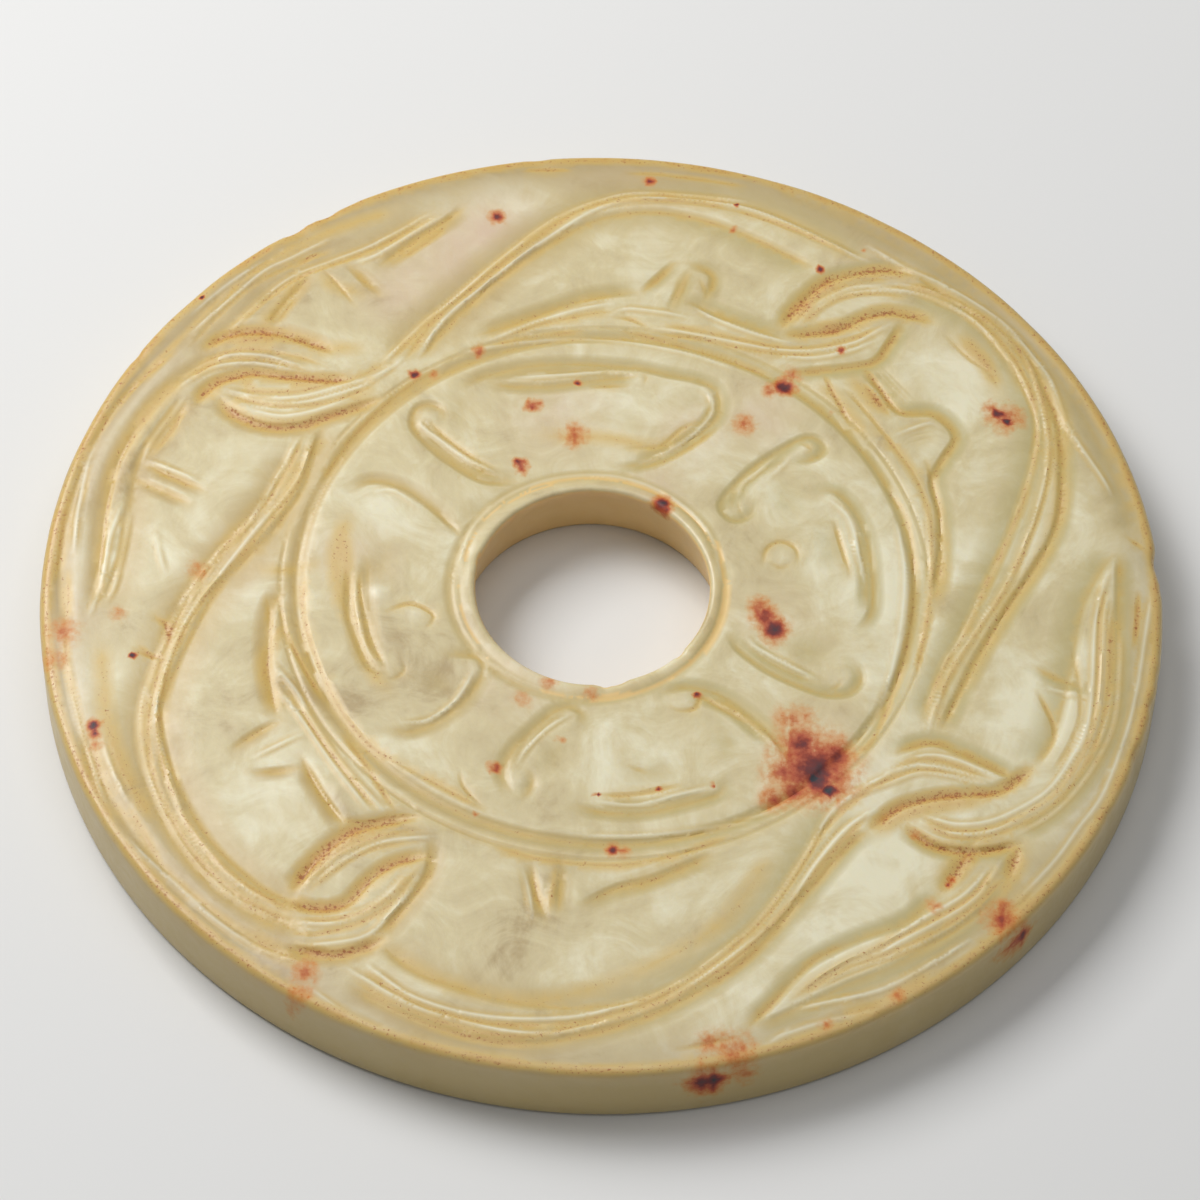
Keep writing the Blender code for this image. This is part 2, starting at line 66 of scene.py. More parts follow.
class Tool(Enum):
    """The carver's tools. A negative height cuts into the stone and a positive one leaves it standing."""

    BANK_LEFT = Profile(3.2 * MM, 0.8 * MM, -0.21 * MM, False)
    BANK_RIGHT = Profile(0.8 * MM, 3.2 * MM, -0.21 * MM, False)
    SLOPE_LEFT = Profile(1.8 * MM, 0.7 * MM, -0.26 * MM, False)
    SLOPE_RIGHT = Profile(0.7 * MM, 1.8 * MM, -0.26 * MM, False)
    EVEN_LEFT = Profile(1.4 * MM, 0.7 * MM, -0.19 * MM, False)
    EVEN_RIGHT = Profile(0.7 * MM, 1.4 * MM, -0.19 * MM, False)
    VALLEY = Profile(1.3 * MM, 1.3 * MM, -0.17 * MM, False)
    HOLLOW = Profile(2.2 * MM, 2.2 * MM, -0.13 * MM, False)
    GROOVE = Profile(0.4 * MM, 0.4 * MM, -0.1 * MM, True)
    HAIR = Profile(0.24 * MM, 0.24 * MM, -0.06 * MM, True)
    RIDGE = Profile(0.85 * MM, 0.85 * MM, 0.11 * MM, True)
    SWELL = Profile(1.6 * MM, 1.6 * MM, 0.2 * MM, True)
    WASH = Profile(1.5 * MM, 1.5 * MM, 0.0, True)


@dataclass(frozen=True)
class Pass:
    """Lines cut alike: the tool, how much dirt they hold, how hard it was pressed, and their points.

    A line's points are x, y pairs in thousandths of the disc's radius, joined by a smooth curve.
    """

    tool: Tool
    dirt: float
    press: float
    lines: tuple[Line, ...]


@dataclass(frozen=True)
class Circle:
    """A circular groove: its centre, radius, depth, reach inwards and outwards, and dirt."""

    centre: tuple[float, float]
    radius: float
    depth: float
    inner: float
    outer: float
    dirt: float


@dataclass(frozen=True)
class Spot:
    """A spot or a soft patch in the stone: its place and radius in thousandths of the disc's, and its strength."""

    x: int
    y: int
    radius: int
    strength: float


BANDS = (
    Pass(Tool.BANK_LEFT, 0.3, 1.0, (
        (-400, 510, -320, 610, -220, 725, -120, 825, -10, 892, 90, 907, 200, 896, 300, 866, 410, 805, 475, 757),
        (-484, -728, -599, -678, -674, -610, -736, -520, -782, -412, -800, -297, -775, -160, -725, -20,
         -660, 92, -606, 178, -565, 290),
    )),
    Pass(Tool.BANK_RIGHT, 0.4, 1.25, (
        (-345, 500, -268, 617, -174, 721, -90, 795, -15, 843, 90, 860, 200, 835, 300, 785, 380, 735),
        (-490, -689, -581, -635, -667, -545, -718, -452, -752, -369, -762, -286, -739, -178, -689, -41,
         -638, 41, -577, 131, -538, 214, -512, 345),
    )),
    Pass(Tool.BANK_RIGHT, 0.35, 1.0, (
        (550, 684, 624, 656, 700, 584, 754, 491, 784, 394, 777, 311, 750, 203, 714, 95, 667, -20, 624, -117,
         592, -190, 565, -270),
        (430, -460, 376, -523, 322, -624, 261, -710, 167, -800, 88, -847, -20, -868, -124, -862, -225, -835,
         -304, -804, -365, -752),
    )),
    Pass(Tool.SLOPE_LEFT, 0.5, 0.95, (
        (570, 722, 640, 664, 720, 600, 775, 530, 812, 430, 828, 340, 826, 250, 812, 150, 764, 50, 710, -48,
         660, -142, 600, -285),
        (475, -500, 437, -527, 372, -617, 282, -739, 210, -808, 113, -872, 16, -912, -88, -938, -196, -930,
         -304, -894, -410, -838),
    )),
)

BAND_LINES = (
    Pass(Tool.RIDGE, 0.3, 1.0, (
        (-412, 487, -347, 577, -290, 638, -203, 739, -102, 840, -16, 887, 52, 905, 160, 901, 254, 890),
        (-347, 505, -304, 592, -232, 674, -142, 768, -34, 858, 52, 890, 160, 888, 246, 876, 322, 844,
         430, 782, 480, 752),
        (480, 689, 566, 682, 631, 653, 685, 610, 732, 541, 764, 477, 786, 394, 779, 311, 750, 203, 714, 95,
         678, 9, 642, -84, 606, -153, 570, -261),
        (534, 700, 606, 682, 678, 638, 732, 584, 772, 527, 797, 419, 804, 322, 786, 220, 750, 100, 718, 20,
         671, -66, 631, -138, 599, -210, 574, -297),
        (520, -376, 459, -416, 405, -466, 362, -552, 304, -653, 232, -739, 131, -826, 34, -869, -52, -890,
         -178, -890, -297, -858, -383, -797),
        (480, -458, 430, -500, 380, -570, 318, -674, 239, -757, 131, -847, 34, -890, -52, -917, -131, -919,
         -214, -901, -304, -872, -416, -804),
        (-556, 315, -584, 239, -631, 131, -685, 56, -743, -56, -775, -160, -797, -250, -799, -340, -782, -412,
         -736, -520, -674, -610, -599, -678, -484, -728),
        (-530, 318, -556, 214, -624, 106, -685, -2, -736, -99, -768, -225, -772, -304, -746, -412, -714, -502,
         -660, -581, -602, -642, -534, -685),
    )),
    Pass(Tool.HOLLOW, 0.05, 0.7, (
        (-385, 500, -290, 620, -190, 735, -90, 830),
        (590, 693, 680, 622, 745, 550, 785, 450, 795, 360, 770, 220, 720, 60, 650, -90, 590, -240),
        (450, -455, 390, -530, 300, -680, 180, -810, 60, -875, -90, -905, -260, -880, -390, -815),
        (-540, 300, -590, 190, -680, 30, -745, -100, -783, -270, -760, -420, -690, -555, -600, -655, -500, -710),
    )),
    Pass(Tool.HAIR, 0.15, 1.0, (
        (-20, 865, 52, 878, 130, 880, 203, 872, 279, 850, 394, 790, 466, 748),
        (596, 670, 650, 641, 700, 592, 742, 524, 770, 440, 783, 380, 783, 330),
        (-565, 262, -610, 150, -690, 20, -760, -150, -786, -300, -770, -410),
        (440, -470, 390, -540, 340, -620),
    )),
)

TAILS = (
    Pass(Tool.SLOPE_RIGHT, 0.3, 0.65, (
        (-700, 504, -772, 448, -829, 369, -874, 268, -894, 160, -898, 52, -895, -70),
        (725, -502, 790, -455, 840, -394, 880, -322, 904, -250, 915, -142, 918, -40, 925, 100),
        (-430, 714, -369, 775, -308, 826, -278, 862),
        (592, -624, 530, -685, 441, -727, 362, -779, 304, -851, 262, -900),
    )),
    Pass(Tool.BANK_LEFT, 0.25, 0.85, (
        (-768, 401, -818, 308, -842, 250, -852, 146, -858, 41, -882, -70),
        (754, -365, 797, -286, 831, -142, 851, -34, 880, 41, 915, 100),
        (-745, 512, -660, 605, -588, 680, -523, 718, -423, 768, -340, 838),
    )),
    Pass(Tool.SLOPE_LEFT, 0.2, 0.65, (
        (707, -600, 660, -660, 599, -713, 516, -768, 430, -812, 340, -864, 275, -900),
    )),
    Pass(Tool.VALLEY, 0.35, 0.8, (
        (-895, -320, -860, -425, -800, -525, -740, -606, -670, -675, -580, -745, -500, -787),
        (-945, -130, -962, 20, -958, 160, -925, 300, -860, 430, -790, 530, -700, 660),
    )),
    Pass(Tool.GROOVE, 0.4, 1.0, (
        (-405, 901, -358, 916, -304, 930, -261, 944),
        (27, 952, 88, 952, 160, 944, 246, 930),
        (142, -944, 178, -937, 246, -919),
        (-718, 617, -667, 689, -606, 746),
        (-943, -117, -937, -196, -901, -326, -869, -448, -826, -520),
        (908, -16, 905, -88, 901, -160, 890, -232, 876, -286, 854, -340),
        (768, -200, 797, -287, 768, -358),
    )),
)

TAIL_LINES = (
    Pass(Tool.RIDGE, 0.3, 1.0, (
        (-768, 401, -786, 365, -818, 308, -836, 254),
        (-865, 156, -881, 88, -887, 16, -894, -34, -905, -88),
        (-851, 146, -853, 95, -865, -13, -880, -63),
        (-689, 563, -642, 628, -588, 685, -516, 725, -448, 761, -383, 808, -336, 844),
        (-473, 721, -430, 743, -365, 797, -311, 840),
        (563, -466, 617, -484, 678, -477, 739, -444, 786, -405, 822, -347, 851, -286, 865, -196, 876, -52,
         901, 56),
        (552, -473, 606, -502, 678, -498, 739, -462, 793, -419, 836, -351, 865, -279, 880, -196, 890, -52,
         898, 2),
        (725, -502, 790, -455, 840, -394, 880, -322, 905, -250, 916, -142, 919, -70),
        (674, -574, 631, -628, 570, -671, 498, -725, 430, -764, 376, -804, 340, -836),
        (696, -559, 653, -631, 588, -682, 516, -728, 480, -754),
        (642, -714, 570, -768, 480, -822, 340, -862),
    )),
    Pass(Tool.RIDGE, 0.3, 0.8, (
        (-975, 0, -977, 70, -971, 149, -950, 240),
        (-944, 50, -943, 142, -934, 246, -920, 300),
        (-768, 595, -710, 662, -642, 725),
        (-768, 548, -703, 624, -642, 696, -588, 732, -516, 782),
        (-948, -142, -919, -268, -887, -376, -847, -484),
        (480, 790, 552, 739, 617, 703, 689, 653, 739, 606, 790, 527, 815, 480, 840, 383, 869, 322, 898, 268,
         916, 225),
        (980, 20, 962, -88, 944, -196, 919, -297, 876, -416, 833, -484, 790, -552, 732, -624, 710, -649),
        (293, -934, 322, -912, 394, -883, 466, -862, 502, -840),
        (142, -973, 34, -984, -106, -984, -214, -966, -322, -934, -412, -890, -484, -836),
        (-862, -358, -847, -405, -808, -484),
        (-808, -548, -761, -599, -703, -653, -646, -710, -570, -764, -487, -797),
    )),
    Pass(Tool.GROOVE, 0.3, 0.8, (
        (-768, 516, -714, 595, -660, 660, -588, 714, -516, 754),
        (667, -653, 599, -710, 516, -754, 430, -793, 376, -826),
        (834, -106, 844, -232, 826, -304, 790, -375),
    )),
)

KNOTS = (
    Pass(Tool.SLOPE_LEFT, 1.0, 1.35, (
        (318, 592, 347, 640, 398, 700, 455, 724, 515, 735, 565, 725),
        (-520, -655, -484, -592, -430, -534, -376, -512, -310, -496),
        (-745, 512, -696, 546, -640, 554, -588, 546, -500, 512),
    )),
    Pass(Tool.EVEN_LEFT, 0.95, 1.9, (
        (326, 577, 376, 581, 426, 592, 473, 622, 530, 633, 600, 615),
        (-535, -670, -473, -685, -424, -672, -380, -617, -340, -588, -283, -572),
        (-750, 383, -714, 434, -650, 459, -588, 453, -516, 447, -460, 452),
        (470, -500, 523, -452, 581, -430, 638, -422, 700, -412, 760, -360),
    )),
    Pass(Tool.SLOPE_LEFT, 0.55, 1.0, (
        (545, 617, 516, 559, 490, 520, 440, 505, 335, 490),
        (-282, -540, -286, -606, -315, -664, -365, -738),
        (515, -340, 577, -317, 630, -334, 730, -390),
    )),
    Pass(Tool.SLOPE_RIGHT, 0.9, 1.3, (
        (-525, -764, -444, -775, -394, -761, -350, -738),
        (-707, 401, -674, 365, -617, 340, -559, 342, -505, 365, -410, 408),
        (530, -490, 588, -530, 660, -537, 740, -518),
    )),
    Pass(Tool.EVEN_RIGHT, 1.0, 1.4, (
        (656, -512, 620, -581, 592, -624),
        (732, -515, 720, -555, 704, -600),
    )),
)

KNOT_LINES = (
    Pass(Tool.RIDGE, 0.3, 0.9, (
        (344, 595, 383, 646, 426, 678, 466, 692, 520, 696),
        (354, 595, 401, 649, 455, 678, 520, 683),
        (88, 583, 142, 575, 250, 552, 304, 541, 376, 541, 448, 559, 484, 581, 520, 606),
        (320, 526, 380, 524, 440, 540, 490, 566),
        (-495, -635, -448, -581, -390, -545, -333, -525),
        (-480, -638, -426, -584, -365, -548, -275, -534),
        (-304, -599, -347, -653, -390, -692, -448, -714, -520, -714),
        (-318, -602, -358, -660, -401, -692, -434, -700),
        (-308, -638, -347, -692, -390, -739, -466, -757, -502, -757),
        (-772, 450, -703, 495, -624, 498, -545, 470),
        (-780, 424, -720, 470, -650, 482, -570, 468),
        (-696, 419, -624, 403, -552, 408, -484, 434, -430, 455, -394, 480, -376, 502),
        (-660, 401, -588, 390, -534, 399, -455, 430, -398, 473),
        (-650, 374, -590, 362, -530, 376, -470, 404),
        (502, -383, 556, -365, 624, -376, 685, -394),
        (430, -437, 502, -405, 563, -380, 624, -387, 680, -402),
        (527, -362, 570, -344, 620, -350, 696, -387),
    )),
    Pass(Tool.GROOVE, 0.8, 0.9, (
        (466, 498, 480, 491, 509, 441, 534, 405),
        (398, 484, 412, 448, 434, 401, 448, 369),
        (552, -509, 588, -530, 660, -536, 732, -520),
        (-448, -502, -401, -509, -347, -495, -300, -495),
    )),
    Pass(Tool.GROOVE, 0.35, 0.8, (
        (430, 455, 448, 437, 477, 398, 520, 333),
        (617, 588, 660, 534, 700, 498, 716, 460),
        (-484, -595, -512, -653),
    )),
)

FINS = (
    Pass(Tool.SLOPE_LEFT, 0.3, 0.7, (
        (-240, 557, -130, 610, -34, 653, 55, 668),
        (135, 653, 210, 617, 320, 572),
        (-563, -295, -584, -182, -587, -80, -560, -10),
    )),
    Pass(Tool.SLOPE_LEFT, 0.5, 1.0, (
        (465, 498, 498, 459, 535, 405, 598, 400, 635, 352, 612, 300, 592, 250, 604, 178, 604, 88, 590, 0),
        (-430, -520, -466, -469, -516, -382),
        (205, -555, 106, -606, 34, -631, -20, -665),
    )),
    Pass(Tool.EVEN_RIGHT, 0.45, 1.0, (
        (59, 664, 88, 700, 126, 745),
        (113, 625, 130, 672, 150, 722),
        (-832, 245, -768, 214, -718, 188),
        (-865, 222, -797, 189, -742, 158),
        (766, -152, 815, -180, 862, -198),
        (-626, 565, -588, 635, -550, 692),
        (-112, -585, -100, -640, -82, -695),
    )),
    Pass(Tool.EVEN_LEFT, 0.4, 1.0, (
        (150, 738, 192, 710, 180, 650),
        (-486, 716, -444, 671, -420, 645),
        (-56, -580, -61, -685),
        (-560, -303, -606, -336, -637, -366),
        (-515, -400, -560, -408, -602, -412),
    )),
    Pass(Tool.RIDGE, 0.3, 0.9, (
        (5, 613, 34, 628, 106, 620, 149, 610),
        (117, 631, 135, 689, 149, 721),
        (-221, 545, -135, 590, -59, 622, 10, 640),
        (149, 640, 203, 606, 275, 574, 340, 556),
        (-829, 258, -797, 242, -735, 214),
        (786, -195, 826, -205, 858, -212),
        (-613, 585, -580, 640, -566, 656),
        (527, 351, 552, 365, 588, 380, 604, 372),
        (581, 207, 588, 88, 581, -34, 566, -124),
        (-516, -329, -552, -351, -602, -383),
        (-574, -185, -530, -243, -502, -300, -441, -394, -369, -484),
        (-566, -232, -516, -304, -459, -394, -394, -484),
        (-68, -606, -74, -642, -78, -682),
        (-124, -599, -113, -642, -104, -696),
    )),
    Pass(Tool.GROOVE, 0.45, 0.9, (
        (2, 610, 45, 602, 77, 581),
        (167, 703, 178, 674, 178, 653),
        (-570, -41, -559, -106, -534, -164, -498, -232, -480, -261),
        (-516, -376, -484, -441, -441, -502),
        (-613, 570, -592, 610, -566, 656),
        (-534, 703, -509, 678, -470, 624),
        (581, 297, 592, 246, 604, 178),
    )),
)

SCROLLS = (
    Pass(Tool.EVEN_LEFT, 0.25, 1.15, (
        (-262, 440, -215, 468, -142, 490, -52, 498, 52, 492, 110, 478, 165, 466, 198, 446, 207, 405, 190, 365,
         135, 315, 75, 277, 25, 266),
        (-293, 360, -300, 386, -324, 398, -347, 384, -350, 345, -320, 305, -286, 272, -221, 228, -155, 226),
        (-452, 200, -430, 218, -401, 221, -360, 208, -320, 176, -284, 140, -257, 104),
        (-452, 20, -448, -70, -430, -130, -405, -185, -375, -192),
        (-270, -154, -221, -156, -206, -180, -214, -212, -239, -257, -286, -300, -330, -318, -362, -315),
        (340, 284, 378, 294, 398, 316, 388, 336, 362, 342, 311, 308, 261, 264, 221, 212, 210, 180, 232, 153,
         262, 164, 268, 190),
        (392, 222, 418, 220, 452, 178, 474, 110, 481, 40, 480, -35, 458, -80),
        (226, -96, 246, -131, 293, -171, 351, -203, 400, -221, 440, -216, 460, -186, 450, -152),
        (110, -226, 150, -212, 196, -219, 240, -245, 297, -300, 338, -360),
    )),
    Pass(Tool.EVEN_RIGHT, 0.25, 1.1, (
        (-215, 450, -178, 444, -102, 446, -34, 459, 20, 468, 62, 474),
        (-34, -297, -30, -272, -52, -258, -81, -272, -120, -315, -150, -356, -164, -400, -150, -440),
        (-124, -392, -112, -412, -120, -440, -134, -450),
        (-36, -464, 16, -476, 88, -474, 160, -453, 214, -430, 216, -404),
    )),
    Pass(Tool.VALLEY, 0.15, 0.8, (
        (-235, 462, -150, 478, -50, 484, 60, 480), (196, 440, 198, 400, 170, 350, 110, 302, 50, 276),
        (-330, 370, -338, 345, -290, 292, -230, 246, -170, 236), (-420, 60, -416, 0, -410, -90, -392, -160),
        (-260, -282, -300, -302, -345, -312), (240, 160, 232, 200, 270, 262, 330, 312),
        (470, 150, 472, 60, 468, -40), (250, -112, 310, -162, 390, -202), (150, -224, 220, -250, 300, -325),
        (-50, -262, -110, -310, -155, -390), (0, -466, 100, -462, 190, -438),
    )),
    Pass(Tool.HOLLOW, 0.05, 1.0, (
        (-270, 425, -262, 385, -250, 350), (140, 440, 165, 420, 170, 395), (-380, 90, -395, 30, -390, -30),
        (-300, -190, -270, -220, -262, -240), (300, 230, 330, 200, 350, 160), (400, 150, 410, 100, 415, 40),
        (-90, -400, -70, -350, -60, -320), (40, -400, 100, -395, 150, -385), (330, -110, 370, -130, 410, -140),
        (210, -290, 230, -330, 250, -360), (-180, 180, -220, 160, -250, 130),
    )),
    Pass(Tool.GROOVE, 0.4, 1.2, (
        (-322, 362, -300, 332, -243, 282, -195, 254), (-250, 272, -214, 246, -190, 238),
        (38, 308, 99, 315, 138, 354, 170, 374), (56, 262, 110, 282, 160, 318, 205, 360),
        (-380, -66, -358, -52, -333, -48, -297, -70, -308, -99),
        (285, 55, 293, 90, 318, 108, 345, 92, 348, 58), (300, 62, 318, 50, 338, 62),
        (125, -254, 142, -261, 168, -256, 180, -232, 210, -250, 268, -286, 300, -325),
        (412, 160, 434, 70, 441, 34), (2, -441, 70, -437, 142, -419), (-347, -174, -344, -192, -369, -214),
        (-239, -401, -232, -430, -196, -473), (60, 470, 72, 473, 66, 450), (-30, 445, 10, 448, 40, 450),
        (-290, 145, -268, 122, -255, 104), (-434, 20, -428, -34, -405, -124, -376, -189),
        (0, -441, 52, -440, 106, -426, 150, -418), (52, -378, 70, -386, 88, -390),
        (400, -212, 420, -200, 424, -182), (240, 196, 246, 170, 256, 158), (350, 330, 372, 316, 360, 300),
    )),
    Pass(Tool.RIDGE, 0.2, 1.0, (
        (-170, 462, -90, 470, 0, 481, 60, 478), (170, 450, 190, 428, 192, 390, 160, 344, 106, 297, 59, 273),
        (-330, 376, -336, 350, -304, 320, -243, 270, -196, 244), (-439, 20, -435, -52, -416, -135, -395, -176),
        (-225, -178, -225, -196, -254, -254, -297, -293, -344, -302), (401, 207, 441, 160, 459, 70, 468, 16),
        (257, -99, 275, -124, 326, -156, 380, -189), (-48, -272, -88, -304, -124, -347, -140, -380),
        (-2, -455, 70, -459, 142, -437, 203, -419), (192, -236, 254, -275, 311, -336),
        (308, 297, 275, 261, 250, 236, 240, 205), (336, 297, 318, 272, 297, 250), (-420, 196, -380, 200, -330, 165),
    )),
    Pass(Tool.SWELL, 0.0, 1.2, (
        (-340, -63, -318, -70), (318, 74, 324, 72), (-418, 178, -405, 172), (364, 320, 356, 312),
        (243, 176, 241, 182), (-280, 112, -284, 104), (428, -188, 418, -182), (264, -77, 268, -80),
        (-135, -420, -133, -414), (148, -242, 158, -240), (56, 468, 62, 462), (-322, 374, -326, 366),
        (-400, 0, -398, -40), (190, 440, 194, 430), (-210, -180, -214, -190),
    )),
)

